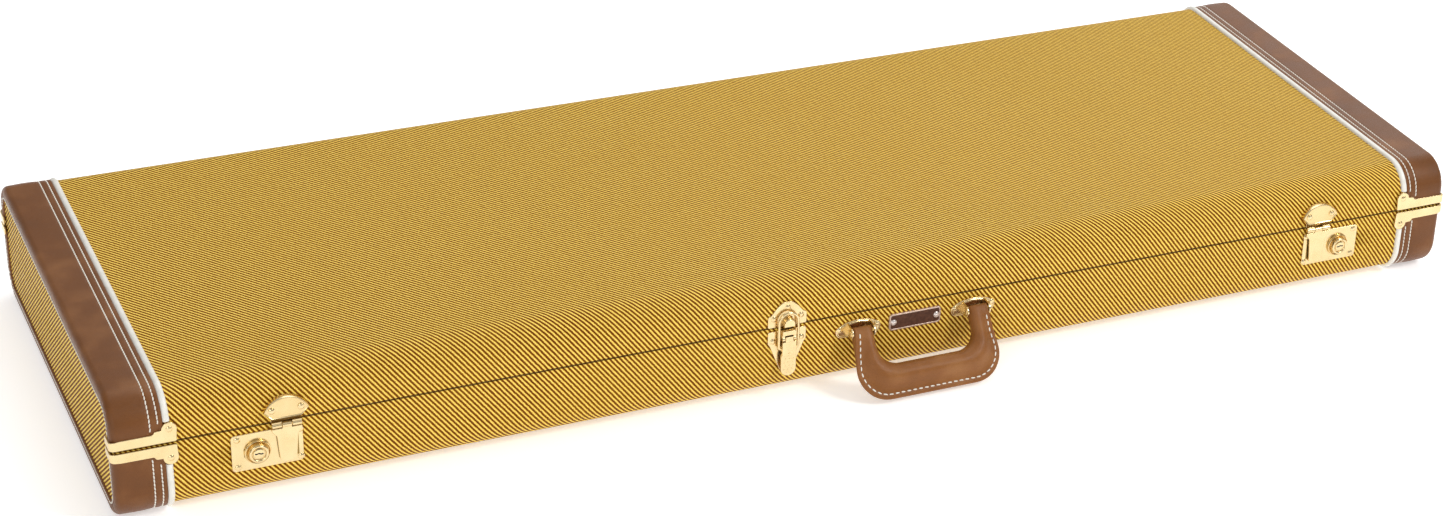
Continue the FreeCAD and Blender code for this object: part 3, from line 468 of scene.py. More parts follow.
def tube(bm, points, radii, count=10, squash=1.0, flat=None):
    """A tube along points; radii may change, and flat is the direction in which squash thins it."""
    own = bmesh.new()
    points = [Vector(point) for point in points]
    side = None
    rows = []
    for k, point in enumerate(points):
        run = (points[min(k + 1, len(points) - 1)] - points[max(k - 1, 0)]).normalized()
        if flat is not None:
            thin = Vector(flat[k] if isinstance(flat, list) else flat)
            side = run.cross(thin).normalized()
        elif side is None:
            side = run.orthogonal().normalized()
        side = (side - run * side.dot(run)).normalized()
        other = run.cross(side).normalized()
        radius = radii[k] if isinstance(radii, (list, tuple)) else radii
        turns = [2 * math.pi * step / count for step in range(count)]
        rows.append([
            point + side * radius * math.cos(t) + other * radius * squash * math.sin(t) for t in turns
        ])
    grid(own, rows)
    merge(bm, own)


def at_front(x, back=0.0):
    """Places local (across, up, height) on the handle side, `back` off the cloth."""
    return lambda a, b, h: (x + a, FRONT - back - h, b)


def prism(bm, x, out, z, soft=0.3):
    """A block with softened edges between two values on each axis; out is measured off the front cloth."""
    own = bmesh.new()
    bmesh.ops.create_cube(own, size=1)
    sizes = [x[1] - x[0], out[1] - out[0], z[1] - z[0]]
    middle = [(x[0] + x[1]) / 2, FRONT - (out[0] + out[1]) / 2, (z[0] + z[1]) / 2]
    for vert in own.verts:
        vert.co = [m + c * s for m, c, s in zip(middle, vert.co, sizes)]
    if soft:
        bmesh.ops.bevel(own, geom=own.edges[:], offset=soft, segments=3, affect="EDGES", profile=0.5)
    merge(bm, own)


# ---- the section of the shell ----

def girth_at(part, run):
    """(y, z, normal y, normal z) at a distance round the section from the front parting edge."""
    up = UP[part]
    bend_z = FLAT[part] - up * EDGE_RADIUS
    straight = abs(EDGE[part] - bend_z)
    total = 2 * straight + 2 * ARC + FLAT_RUN
    if run > total / 2:
        y, z, ny, nz = girth_at(part, total - run)
        return 2 * MIDDLE - y, z, -ny, nz
    if run <= straight:
        return FRONT, EDGE[part] + up * run, -1.0, 0.0
    if run <= straight + ARC:
        turn = (run - straight) / EDGE_RADIUS
        ny, nz = -math.cos(turn), up * math.sin(turn)
        return FRONT + EDGE_RADIUS + ny * EDGE_RADIUS, bend_z + nz * EDGE_RADIUS, ny, nz
    return FRONT + EDGE_RADIUS + run - straight - ARC, FLAT[part], 0.0, float(up)


def girth_length(part):
    """The section's length from the front parting edge round to the rear one."""
    return 2 * abs(EDGE[part] - FLAT[part] + UP[part] * EDGE_RADIUS) + 2 * ARC + FLAT_RUN


def stations(part, start, extra=(), bends=30, flats=12.0):
    """Distances round the section from one stop to the other, closer together in the bends."""
    straight = abs(EDGE[part] - FLAT[part] + UP[part] * EDGE_RADIUS)
    total = girth_length(part)
    marks = {start, total - start, *extra}
    marks |= {start + (straight - start) * k / 10 for k in range(11) if straight > start}
    marks |= {straight + ARC * k / bends for k in range(bends + 1)}
    steps = int(FLAT_RUN / 2 // flats)
    marks |= {straight + ARC + FLAT_RUN / 2 * k / steps for k in range(steps + 1)}
    marks |= {total - mark for mark in marks}
    kept = sorted(mark for mark in marks if start <= mark <= total - start)
    return [mark for k, mark in enumerate(kept) if k == 0 or mark - kept[k - 1] > 1e-3]


def sides():
    """Each end's name and the sign of its x."""
    return (("right", 1), ("left", -1))


# ---- tweed ----
CLOTH = 0.8
CORNER = 3.0
# the opening in the cloth behind each lock plate, in x from the middle and in z
LOCK_X = (405.9, 446.9)
LOCK_Z = (33.0, 47.8)
# weave coordinates of an end start here, clear of those at the parting edge
END_WEAVE = 1000


def tweed_cover(part):
    """The cloth over the long faces and both ends, turned in at the parting edge."""
    bm = bmesh.new()
    up = UP[part]
    total = girth_length(part)
    pocket = [EDGE[part] - z for z in LOCK_Z] if part == "base" else []
    runs = stations(part, CLOTH, pocket)
    rows = []
    for degrees in (0, 30, 60):
        turn = math.radians(degrees)
        sink, lift = CLOTH * (1 - math.sin(turn)), CLOTH * (1 - math.cos(turn))
        rows.append((FRONT + sink, EDGE[part] + up * lift, -1.0, 0.0, lift - CLOTH * (1 - turn)))
    for run in runs:
        rows.append((*girth_at(part, run), run))
    for y, z, ny, nz, run in rows[2::-1]:
        rows.append((2 * MIDDLE - y, z, -ny, nz, total - run))
    corner = arc((END - CORNER, -CORNER), CORNER, 0, 90, 6)
    marks = {-x for x in LOCK_X} | set(LOCK_X) | {(END - CORNER) * k / 12 for k in range(-11, 12)}
    profile = [
        (-x, d, -END + CORNER - CORNER * math.radians(90 - a)) for (x, d), a in zip(corner, range(0, 91, 15))
    ]
    profile += [(x, 0.0, x) for x in sorted(marks)]
    profile += [(-x, d, -u) for x, d, u in profile[6::-1]]
    uv = bm.loops.layers.uv.new("weave")
    where = {}
    lines = []
    for y, z, ny, nz, run in rows:
        line = []
        for x, d, u in profile:
            vert = bm.verts.new((x, y + ny * d, z + nz * d))
            where[vert] = (u, SPLIT + up * run)
            line.append(vert)
        lines.append(line)
    for first, second in zip(lines, lines[1:]):
        for k in range(len(profile) - 1):
            corners = (first[k], first[k + 1], second[k + 1], second[k])
            middle = sum((vert.co for vert in corners), Vector()) / 4
            if part == "base" and middle.y < FRONT + 1 and LOCK_X[0] < abs(middle.x) < LOCK_X[1]:
                if LOCK_Z[0] < middle.z < LOCK_Z[1]:
                    continue
            face = bm.faces.new(corners)
            for loop in face.loops:
                loop[uv].uv = where[loop.vert]
    for number, sign in ((0, -1), (-1, 1)):
        face = bm.faces.new([line[number] for line in lines])
        for loop in face.loops:
            loop[uv].uv = (loop.vert.co.z, END_WEAVE - sign * loop.vert.co.y)
    piece = from_bmesh(f"{part}_tweed", bm, [TWEED], 50, weighted=False)
    thick = piece.modifiers.new("cloth", "SOLIDIFY")
    thick.thickness = CLOTH * MM
    thick.offset = -1
    thick.use_even_offset = True
    settle(piece, part, "tweed", f"{part}_tweed_cover")


# ---- leather ends, stitching and piping ----
LEATHER_IN = span("base_leather_cap_right")[0][0]
LEATHER_OUT = span("base_leather_cap_right")[1][0]
LEATHER_STOP = EDGE["base"] - span("base_leather_cap_right")[1][2]
THICK = LEATHER_OUT - END
LIP = 8.8
ROLL = 5.0
# the stitched rows: two x positions beside the piping, and how far down the lip
ROWS = (495.0, 500.4)
LIP_ROW = -7.0


def cap_profile(pleat):
    """The leather's section from the piping, over the end and down the lip; pleat pinches the lip."""
    top = [(LEATHER_IN, 0.06), (LEATHER_IN, THICK - 0.5), (LEATHER_IN + 0.2, THICK - 0.12),
           (LEATHER_IN + 0.7, THICK)]
    for x in ROWS:
        for along, sunk in ((-1.3, 0), (-0.7, 0.2), (0, 0.38), (0.7, 0.2), (1.3, 0)):
            top.append((x + along, THICK - sunk))
    top += [(503.5, THICK + 0.12), (508, THICK + 0.3), (513, THICK + 0.3), (518, THICK + 0.1)]
    roll = arc((LEATHER_OUT - ROLL, THICK - ROLL), ROLL, 90, 0, 9)
    lip = [(LEATHER_OUT, -4.6), (LEATHER_OUT, LIP_ROW + 0.9), (LEATHER_OUT - 0.3, LIP_ROW),
           (LEATHER_OUT, LIP_ROW - 0.8)]
    lip += [(LEATHER_OUT - 0.15, -LIP + 0.5), (LEATHER_OUT - 0.7, -LIP), (END + 0.06, -LIP)]
    pinched = []
    for x, d in roll + lip:
        depth = pleat * min(1.0, max(0.0, (THICK - d) / 6))
        pinched.append((max(x - depth, END + 0.06) if d < -3 else x - depth * 0.6, d))
    inner = [(END + 0.06, -CORNER)] + arc((END - CORNER, -CORNER), CORNER + 0.06, 15, 90, 5)
    return top + pinched + inner


def pleat_at(part, run):
    """How deep the lip is pinched where the leather goes round a rounded edge."""
    _, _, ny, nz = girth_at(part, run)
    turn = math.degrees(math.atan2(abs(nz), abs(ny)))
    pleats = ((22, 0.7), (45, 1.1), (67, 0.8))
    return sum(depth * math.exp(-((turn - centre) / 3.2) ** 2) for centre, depth in pleats)


def sweep(bm, part, stop, sign, profile_at):
    """Carries an (x, distance off the cloth) section round the shell between the stops."""
    rows = []
    for run in stations(part, stop):
        y, z, ny, nz = girth_at(part, run)
        rows.append([(sign * x, y + ny * d, z + nz * d) for x, d in profile_at(run)])
    grid(bm, rows)


def leather_cap(part, side, sign):
    """The leather of one end, from the piping round to its turned-over lip."""
    bm = bmesh.new()
    sweep(bm, part, LEATHER_STOP, sign, lambda run: cap_profile(pleat_at(part, run)))
    cap = from_bmesh(f"{part}_leather_{side}", bm, [LEATHER], 60, weighted=False)
    settle(cap, part, "leather", f"{part}_leather_cap_{side}")


def stitch(bm, start, end, normal, side, slant, width=0.48):
    """One thread that rises out of its hole, lies on the surface and goes back down."""
    start, end, normal, side = Vector(start), Vector(end), Vector(normal), Vector(side)
    points, radii = [], []
    line = ((0, -0.35, 0.55), (0.12, 0.02, 0.85), (0.5, 0.16, 1), (0.88, 0.02, 0.85), (1, -0.35, 0.55))
    for share, lift, size in line:
        points.append(start.lerp(end, share) + normal * lift + side * slant * (share - 0.5))
        radii.append(width * size)
    tube(bm, points, radii, 6, 0.75, normal)


def cap_stitching(part, side, sign):
    """Two rows beside the piping and one along the lip."""
    bm = bmesh.new()
    chance = random.Random(f"{part}{side}")
    step, length = 3.05, 2.86
    lines = (
        (ROWS[0], THICK - 0.3, False, 15.2), (ROWS[1], THICK - 0.3, False, 10.5),
        (LEATHER_OUT - 0.2, LIP_ROW, True, 9.6),
    )
    for x, d, on_end, stop in lines:
        run = stop
        while run + length < girth_length(part) - stop:
            ends = []
            for where in (run, run + length):
                y, z, ny, nz = girth_at(part, where)
                ends.append((sign * x, y + ny * d, z + nz * d))
            normal = (sign, 0, 0) if on_end else (0, ny, nz)
            across = (0, ny, nz) if on_end else (1, 0, 0)
            stitch(bm, *ends, normal, across, 0.3 + chance.uniform(-0.12, 0.2))
            stretch = EDGE_RADIUS / (EDGE_RADIUS + d) if on_end and abs(ny * nz) > 0.01 else 1.0
            run += step * stretch
    rows = from_bmesh(f"{part}_stitching_{side}", bm, [THREAD], 60, weighted=False)
    settle(rows, part, None)


def piping(part, side, sign):
    """A round vinyl bead on a flange beside the leather."""
    bm = bmesh.new()
    low, high = span(f"{part}_piping_right")
    half = (high[0] - low[0]) / 2
    middle = (high[0] + low[0]) / 2
    proud = high[2] - FLAT["lid"] if part == "lid" else FLAT["base"] - low[2]
    stop, seat, flange = 16.1, 0.04, 0.25
    turns = [math.pi * k / 12 for k in range(13)]
    bead = [(middle + half * math.cos(t), flange + (proud - flange) * math.sin(t)) for t in turns]
    outline = [(middle + half, seat)] + bead + [(middle - half, seat)]
    sweep(bm, part, stop, sign, lambda run: outline)
    bead = from_bmesh(f"{part}_piping_bead_{side}", bm, [PIPING], 60, weighted=False)
    settle(bead, part, "piping", f"{part}_piping_{side}")


# ---- metalwork ----
SHEET = 1.2
KNOB_Z = 40.2
# the slots behind knob and hasp, and the bolt's end with the knob at rest, in x from the middle
STEM_SLOT, STAPLE, BOLT_END = (427.3, 439.6), 409.9, 412.9
HASP_PIN_OUT, HASP_PIN_Z = 2.45, 57.9
LATCH_PIN_OUT, LATCH_PIN_Z = 4.6, 51.5


def soft_edge(thick, radius=0.35):
    """Steps that raise a plate to its thickness with a rounded rim."""
    steps = [(0.0, thick - radius)]
    for degrees in (30, 60, 90):
        turn, before = math.radians(degrees), math.radians(degrees - 30)
        steps.append((radius * (math.cos(before) - math.cos(turn)), thick - radius + radius * math.sin(turn)))
    return steps


def islands(node):
    """The box of each separate solid of a CAD node, in millimetres."""
    bm = bmesh.new()
    bm.from_mesh(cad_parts[node].data)
    bmesh.ops.remove_doubles(bm, verts=bm.verts, dist=1e-6)
    left = set(bm.verts)
    boxes = []
    while left:
        group = {left.pop()}
        edge = list(group)
        while edge:
            for link in edge.pop().link_edges:
                for vert in link.verts:
                    if vert in left:
                        left.discard(vert)
                        group.add(vert)
                        edge.append(vert)
        points = np.array([vert.co for vert in group]) / MM
        boxes.append((points.min(0), points.max(0)))
    bm.free()
    return sorted(boxes, key=lambda box: tuple(np.round(box[0], 2)))


RIVET_PROUD = 1.1
RIVET = [
    (2.4, -0.5), (2.4, 0.05), (2.3, 0.2), (2.05, 0.3), (1.85, 0.42), (1.5, 0.72), (0.95, 0.93), (0.4, 1.0),
    (0.0, 1.01),
]


def rivets():
    """Domed heads where the CAD's rivets are; the badge's pair is silvery."""
    badge_low, badge_high = span("badge_plate")
    for part in ("base", "lid"):
        bm, badge_bm = bmesh.new(), bmesh.new()
        for low, high in islands(f"{part}_rivets"):
            x, z = (low[0] + high[0]) / 2, (low[2] + high[2]) / 2
            at_back = low[1] > MIDDLE
            face = high[1] - RIVET_PROUD if at_back else low[1] + RIVET_PROUD
            way = 1 if at_back else -1
            on_badge = part == "base" and badge_low[0] < x < badge_high[0] and not at_back

            def put(a, b, h, x=x, z=z, face=face, way=way):
                return x + a, face + way * h, z + b

            lathe(badge_bm if on_badge else bm, RIVET, put, 20)
        metal(f"{part}_rivet_heads", bm, part, f"{part}_rivets", 60, False)
        if part == "base":
            settle(from_bmesh("badge_rivet_heads", badge_bm, [SILVER], 60, False), part, "badge")


def corner_clamps(part):
    """Folded clamps: a lobe for the rivet, a step, a narrow strip and a leg round the corner."""
    up = UP[part]
    low, high = span(f"{part}_corner_clamps")
    out_x, out_y = high[0], low[1]
    sheet, bend = 1.0, 3.5
    start = 483.0
    fold = out_x - bend - start
    leg = fold + (bend - sheet / 2) * math.pi / 2
    last = leg + (FRONT + 12 - (out_y + bend))
    outline = rounded([
        (0.0, 2.2, 1.2), (1.4, 1.2, 0.6), (last, 1.2, 1.2), (last, 7.5, 2.0), (leg, 7.5, 1.5),
        (fold - 3, 8.5, 3), (16.4, 8.6, 1.2), (14.8, 10.8, 1.6), (10.6, 11.0, 0.4),
    ], 5) + arc((5.2, 11.0), 5.2, 0, 180, 16)
    bm = bmesh.new()
    for x_sign in (1, -1):
        for y_sign in (1, -1):
            def put(a, b, h):
                turn = min(max((a - fold) / (bend - sheet / 2), 0), math.pi / 2)
                reach = bend - sheet + h
                if a <= fold:
                    x, y = start + a, out_y + sheet - h
                elif a < leg:
                    x = out_x - bend + reach * math.sin(turn)
                    y = out_y + bend - reach * math.cos(turn)
                else:
                    x, y = out_x - sheet + h, out_y + bend + a - leg
                return x_sign * x, MIDDLE + y_sign * (y - MIDDLE), SPLIT + up * b

            emboss(bm, outline, soft_edge(sheet, 0.4), put, [fold + (leg - fold) * k / 8 for k in range(9)])
    metal(f"{part}_clamps", bm, part, f"{part}_corner_clamps", 50)


def cut_slots(piece, slots):
    """Cuts rectangular slots (x, out, z ranges) through a plate."""
    bm = bmesh.new()
    for x, out, z in slots:
        prism(bm, x, out, z, 0.0)
    cutter = from_bmesh("cutter", bm, [SHADE_GOLD], None, False)
    boolean = piece.modifiers.new("slots", "BOOLEAN")
    boolean.object = cutter
    boolean.solver = "EXACT"
    piece.modifiers.move(len(piece.modifiers) - 1, 0)
    cut = bpy.data.meshes.new_from_object(piece.evaluated_get(bpy.context.evaluated_depsgraph_get()))
    piece.modifiers.clear()
    piece.data = cut
    bpy.data.objects.remove(cutter)


def lock(side, sign):
    """Face plate with its slots, sliding knob in a dished ring, key plug and hinged hasp of one lock."""
    low, high = span(f"{side}_lock_plate")
    bm = bmesh.new()
    emboss(bm, plate_outline(low, high, 2.6), soft_edge(SHEET, 0.45), at_front(0))
    inner = min(abs(low[0]), abs(high[0]))
    # painted shade: a thin dark gold strip beside the flap stands for the shadow in the narrow recess there
    groove = sorted((sign * (inner + 3.2), sign * (inner + 4.6)))
    prism(bm, groove, (1.0, 1.24), (31.8, 49.0), 0.0)
    bm.faces.ensure_lookup_table()
    for face in bm.faces[-6:]:
        face.material_index = 1
    plate = from_bmesh(f"{side}_lock_face", bm, [GOLD, SHADE_GOLD], 45)
    through = (-1, 3)
    stem_x = sorted(sign * x for x in STEM_SLOT)
    staple_x = (sign * STAPLE - 2, sign * STAPLE + 2)
    cut_slots(plate, [(stem_x, through, (36.9, 43.5)), (staple_x, through, (36, 47))])
    settle(plate, "base", "gold", f"{side}_lock_plate")

    plug_low, plug_high = span(f"{side}_key_plug")
    x, z = (plug_low[0] + plug_high[0]) / 2, KNOB_Z
    spot = at_front(x, 1.35)

    def turned(a, b, h):
        return spot(a, b + z, h)

    bm = bmesh.new()
    dish = [
        (3.2, -2.6), (3.2, 0.0), (9.1, 0.0), (9.25, 0.35), (9.2, 1.3), (8.95, 1.85), (8.55, 2.05),
        (8.15, 1.85), (7.9, 1.2), (7.72, 0.7), (7.3, 0.62), (7.1, 0.9), (6.85, 3.9), (6.7, 4.5),
        (6.3, 4.82), (5.75, 4.9), (5.2, 4.7), (4.85, 4.3), (4.6, 3.7), (4.06, 3.55), (4.06, 1.0),
        (1.55, 0.9), (1.55, -2.6),
    ]
    lathe(bm, dish, turned, 40)
    bolt = sorted((sign * (abs(x) + 6), sign * BOLT_END))
    prism(bm, bolt, (-1.8, -0.3), (z - 5, z + 5), 0.3)
    metal(f"{side}_lock_knob", bm, f"{side}_lock_slide", f"{side}_lock_slide", 38, False)

    bm = bmesh.new()
    plug = [
        (1.45, -4.4), (1.45, 1.2), (3.9, 1.2), (4.0, 3.6), (3.85, 4.1), (3.4, 4.35), (2.9, 4.4), (0.0, 4.45),
    ]
    lathe(bm, plug, turned, 32)
    keyhole = [
        (-3.0, -0.45), (-1.2, -0.6), (0.3, 0.15), (1.8, -0.4), (3.0, 0.0), (2.8, 0.9), (1.6, 0.6), (0.1, 1.1),
        (-1.4, 0.4), (-2.9, 0.55),
    ]
    outline = rounded([(sign * a, b, 0.3) for a, b in keyhole[::sign]], 3)
    # painted shade: the keyhole is a dark patch on the plug's face, not a hole
    emboss(bm, outline, [(0.0, 0.03)], lambda a, b, h: turned(a, b, h + 4.44), tags=[1, 1])
    metal(f"{side}_key_face", bm, f"{side}_key_plug", f"{side}_key_plug", 38, False, KEYHOLE_SHADE)
    hasp(side)


def hasp(side):
    """The flap with its shoulders, knuckle and staple, and the crown-shaped plate above it."""
    low, high = span(f"{side}_hasp")
    x = (low[0] + high[0]) / 2
    bm = bmesh.new()
    flap = symmetric([(5.6, 29.0, 3.2), (7.3, 49.6, 1.6), (10.4, 53.4, 1.8), (10.4, 55.6, 0.5)])
    emboss(bm, flap, soft_edge(SHEET, 0.45), at_front(x, HASP_PIN_OUT - 0.1))
    knuckle(bm, x - 3.3, x + 3.3, HASP_PIN_OUT, HASP_PIN_Z, 2.0)
    prism(bm, (x - 3.3, x + 3.3), (HASP_PIN_OUT - 0.1, HASP_PIN_OUT + 1.15), (55.0, 57.4), 0.2)
    prism(bm, (x - 1, x + 1), (-3.0, HASP_PIN_OUT), (41.0, 45.2), 0.2)
    metal(f"{side}_hasp_flap", bm, f"{side}_hasp", f"{side}_hasp")

    bm = bmesh.new()
    crown = [(-10.4, 63.5), (10.4, 63.5), (15.9, 69.4), *arc((0, 62.2), 17.5, 33, 147, 22), (-15.9, 69.4)]
    steps = [
        (0.0, 2.4), (0.08, 3.2), (0.18, 3.8), (0.24, 4.15), (0.2, 4.2), (0.16, 4.05), (0.18, 3.82),
        (0.2, 3.76),
    ]
    emboss(bm, crown, steps, at_front(x))
    prism(bm, (x - 10.4, x + 10.4), (0.0, SHEET), (59.9, 66.0), 0.25)
    for first, last in ((x - 10.3, x - 3.6), (x + 3.6, x + 10.3)):
        knuckle(bm, first, last, HASP_PIN_OUT, HASP_PIN_Z, 2.0)
        prism(bm, (first, last), (1.0, 3.4), (58.4, 60.6), 0.3)
    # painted shade and dark reflection: the dark gold step under the crown stands in for the shade and dark
    # surroundings seen there
    step = [(3.9, 63.6), (1.1, 63.6), (1.1, 60.0), (1.7, 60.0)]
    shadow = bmesh.new()
    grid(shadow, [[(x + a, FRONT - out, z) for out, z in step] for a in (-10.2, 10.2)])
    for face in shadow.faces:
        face.material_index = 1
    merge(bm, shadow)
    metal(f"{side}_hasp_crown", bm, "lid", f"{side}_hasp_plate", second=SHADE_GOLD)


def knuckle(bm, first, last, out, z, radius):
    """A rolled barrel along the case with rounded ends."""
    soft = 0.3
    points = [(first, 0), (first + 0.01, radius - soft), (first + soft, radius), (last - soft, radius),
              (last - 0.01, radius - soft), (last, 0)]
    lathe(bm, [(r, x) for x, r in points], lambda a, b, h: (h, FRONT - out - a, z + b), 24)


def draw_latch():
    """Hook plate, base plate with its bridge, lever with thumb tab, and the wire bail."""
    low, high = span("draw_latch_hook_plate")
    x = (low[0] + high[0]) / 2
    bm = bmesh.new()
    crown = symmetric([
        (15.2, 59.9, 1.2), (15.2, 69.2, 2.4), (12.6, 70.2, 3), (8.2, 75.6, 3.5), (3.8, 79.4, 4.6),
    ])
    emboss(bm, crown, soft_edge(SHEET, 0.45), at_front(x))
    hook = [(-5.6, 59.9), (5.6, 59.9), (5.6, 63.4)] + arc((0, 63.4), 5.6, 15, 165, 12) + [(-5.6, 63.4)]
    steps = [(0.0, 1.0), (0.9, 1.6), (0.3, 3.0), (-0.9, 4.4), (-0.3, 5.4), (0.25, 6.1), (0.35, 6.4)]
    emboss(bm, hook, steps, at_front(x))
    metal("draw_latch_hook", bm, "lid", "draw_latch_hook_plate")

    bm = bmesh.new()
    shield = symmetric([
        (4.5, 22.6, 4.5), (10.5, 37.5, 6), (13.2, 44.5, 6), (15.0, 47.0, 2), (15.0, 56.8, 1.2),
    ])
    emboss(bm, shield, soft_edge(SHEET, 0.45), at_front(x))
    prism(bm, (x - 5.5, x + 5.5), (1.0, 6.4), (54.5, 58.2), 0.5)
    for first in (x - 5.5, x + 3.2):
        prism(bm, (first, first + 2.3), (1.0, 5.6), (50.0, 55.2), 0.35)
        knuckle(bm, first, first + 2.3, LATCH_PIN_OUT, LATCH_PIN_Z, 1.9)
    metal("draw_latch_shield", bm, "base", "draw_latch_base_plate")

    thumb_lever(x)

    bm = bmesh.new()
    wire, half, out = 1.0, 7.5, 3.9
    left = [(-4.7, 43.0), (-5.6, 43.0)] + arc((-half + 1.9, 44.9), 1.9, 270, 180, 6)
    path = left + arc((0, 64.2), half, 180, 0, 20) + [(-a, b) for a, b in reversed(left)]
    tube(bm, [(x + a, FRONT - out, b) for a, b in path], wire, 14)
    metal("draw_latch_wire", bm, "draw_latch_bail", "draw_latch_bail", 60, False)


def thumb_lever(x):
    """The draw latch's lever: knuckle, flat shank with side lips, and a dimpled tab with a stud above it."""
    bm = bmesh.new()
    knuckle(bm, x - 3, x + 3, LATCH_PIN_OUT, LATCH_PIN_Z, 1.9)
    prism(bm, (x - 3, x + 3), (LATCH_PIN_OUT, 6.4), (48.9, 53.3), 0.3)
    shank = symmetric([(5.5, 37.6, 1.0), (5.5, 49.3, 0.6)])
    emboss(bm, shank, soft_edge(SHEET, 0.4), at_front(x, 5.2))
    tab = [(6.0, 26.5), (6.0, 36.5), (5.4, 39.0), (-5.4, 39.0), (-6.0, 36.5), (-6.0, 26.5)]
    tab += arc((0, 26.5), 6.0, 195, 345, 12)
    emboss(bm, tab, [(0.0, 1.0), (0.15, 1.3), (0.35, 1.5), (0.6, 1.42), (1.0, 1.2)], at_front(x, 4.0))
    for sign in (-1, 1):
        lip = sorted((x + sign * 5.5, x + sign * 4.5))
        prism(bm, lip, (2.4, 5.4), (41.0, 45.0), 0.25)
    stud = [(0.75, -0.2), (0.75, 0.0), (0.55, 0.35), (0.0, 0.5)]
    lathe(bm, stud, lambda a, b, h: (x + a, FRONT - 6.4 - h, 39.6 + b), 14)
    dimple = [(0.42, -0.2), (0.4, 0.0), (0.25, 0.16), (0.0, 0.2)]
    chance = random.Random(7)
    for row in range(4):
        for column in range(3):
            a = -3 + column * 3 + (row % 2) * 1.2 - 0.6
            b = 26.0 + row * 2.9 + chance.uniform(-0.3, 0.3)
            lathe(bm, dimple, lambda p, q, h, a=a, b=b: (x + a + p, FRONT - 5.22 - h, b + q), 8)
    metal("draw_latch_thumb_lever", bm, "draw_latch_lever", "draw_latch_lever")


# ---- handle ----
PIVOT_OUT, PIVOT_Z = 8.0, 47.5
DROOP = math.radians(54.5)
HANDLE_X = sum(span("handle_grip")[k][0] for k in (0, 1)) / 2
REACH, HALF, DEPTH = 53.4, 58.1, 26.0
# the stitched line: how far inside the sewn edge, stitch length and spacing
SEAM_IN, STITCH, STITCH_STEP = 4.1, 3.2, 4.75
OUT_DIRECTION = Vector((0, -math.cos(DROOP), -math.sin(DROOP)))
FACE_DIRECTION = Vector((0, -math.sin(DROOP), math.cos(DROOP)))


def on_handle(a, q, h):
    """Local across, distance from the pins and height off the handle's middle plane, in the frame."""
    start = Vector((HANDLE_X, FRONT - PIVOT_OUT, PIVOT_Z))
    return start + Vector((a, 0, 0)) + OUT_DIRECTION * q + FACE_DIRECTION * h


def ribs():
    """(inner point, outer point, half thickness) across the grip, from one arm to the other."""
    inner_reach = REACH - DEPTH
    outer_radius, inner_radius = 23.0, 15.0
    outer_path = [(-56.3, inner_reach - inner_radius)]
    outer_path += [(-56.3 - 1.8 * k / 6, 12.4 + 18 * k / 6) for k in range(1, 6)]
    outer_path += arc((outer_radius - HALF, REACH - outer_radius), outer_radius, 180, 90, 16)
    outer_path += [(-35.1 + 11.1 * k / 4, REACH) for k in range(1, 5)]
    runs = [0.0]
    for first, second in zip(outer_path, outer_path[1:]):
        runs.append(runs[-1] + math.dist(first, second))
    half = []
    arm = (
        (-3.6, 2.6), (-3.3, 3.9), (-2.4, 4.8), (-0.8, 5.3), (1, 5.6), (3, 5.9), (6, 6.1), (9, 6.3), (11, 6.5),
    )
    for q, thick in arm:
        half.append(((-39.0, q), (-55.0 - max(q, 0) * 0.105, q), thick))
    for k in range(25):
        share = k / 24
        turn = math.radians(90 * share)
        inner = (-24 - inner_radius * math.cos(turn), 12.4 + inner_radius * math.sin(turn))
        run = share * runs[-1]
        outer = [np.interp(run, runs, [point[axis] for point in outer_path]) for axis in (0, 1)]
        half.append((inner, tuple(outer), 6.6 + 1.9 * share))
    for k in range(1, 9):
        half.append(((-24 + 3 * k, inner_reach), (-24 + 3 * k, REACH), 8.5))
    mirrored = [((-a, b), (-c, d), thick) for (a, b), (c, d), thick in reversed(half[:-1])]
    return half + mirrored


FIN = 1.35
THICKEST = 0.34


def grip_height(share, thick, reach):
    """Half thickness across the grip: a padded roll inside, falling to a thin sewn fin outside.

    At the tops of the arms, a small reach from the pins, the fin is nearly as thick as the roll.
    """
    fin = float(np.interp(reach, (0, 5, 17), (thick * 0.84, thick * 0.74, FIN)))
    if share < THICKEST:
        return thick * math.sqrt(max(1 - ((THICKEST - share) / THICKEST) ** 2, 0))
    if share < 0.8:
        return fin + (thick - fin) * (0.5 + 0.5 * math.cos(math.pi * (share - THICKEST) / (0.8 - THICKEST)))
    groove = 0.3 * math.exp(-((share - 0.84) / 0.02) ** 2)
    return (fin - groove) * math.sqrt(max(1 - max((share - 0.9) / 0.1, 0) ** 2, 0))


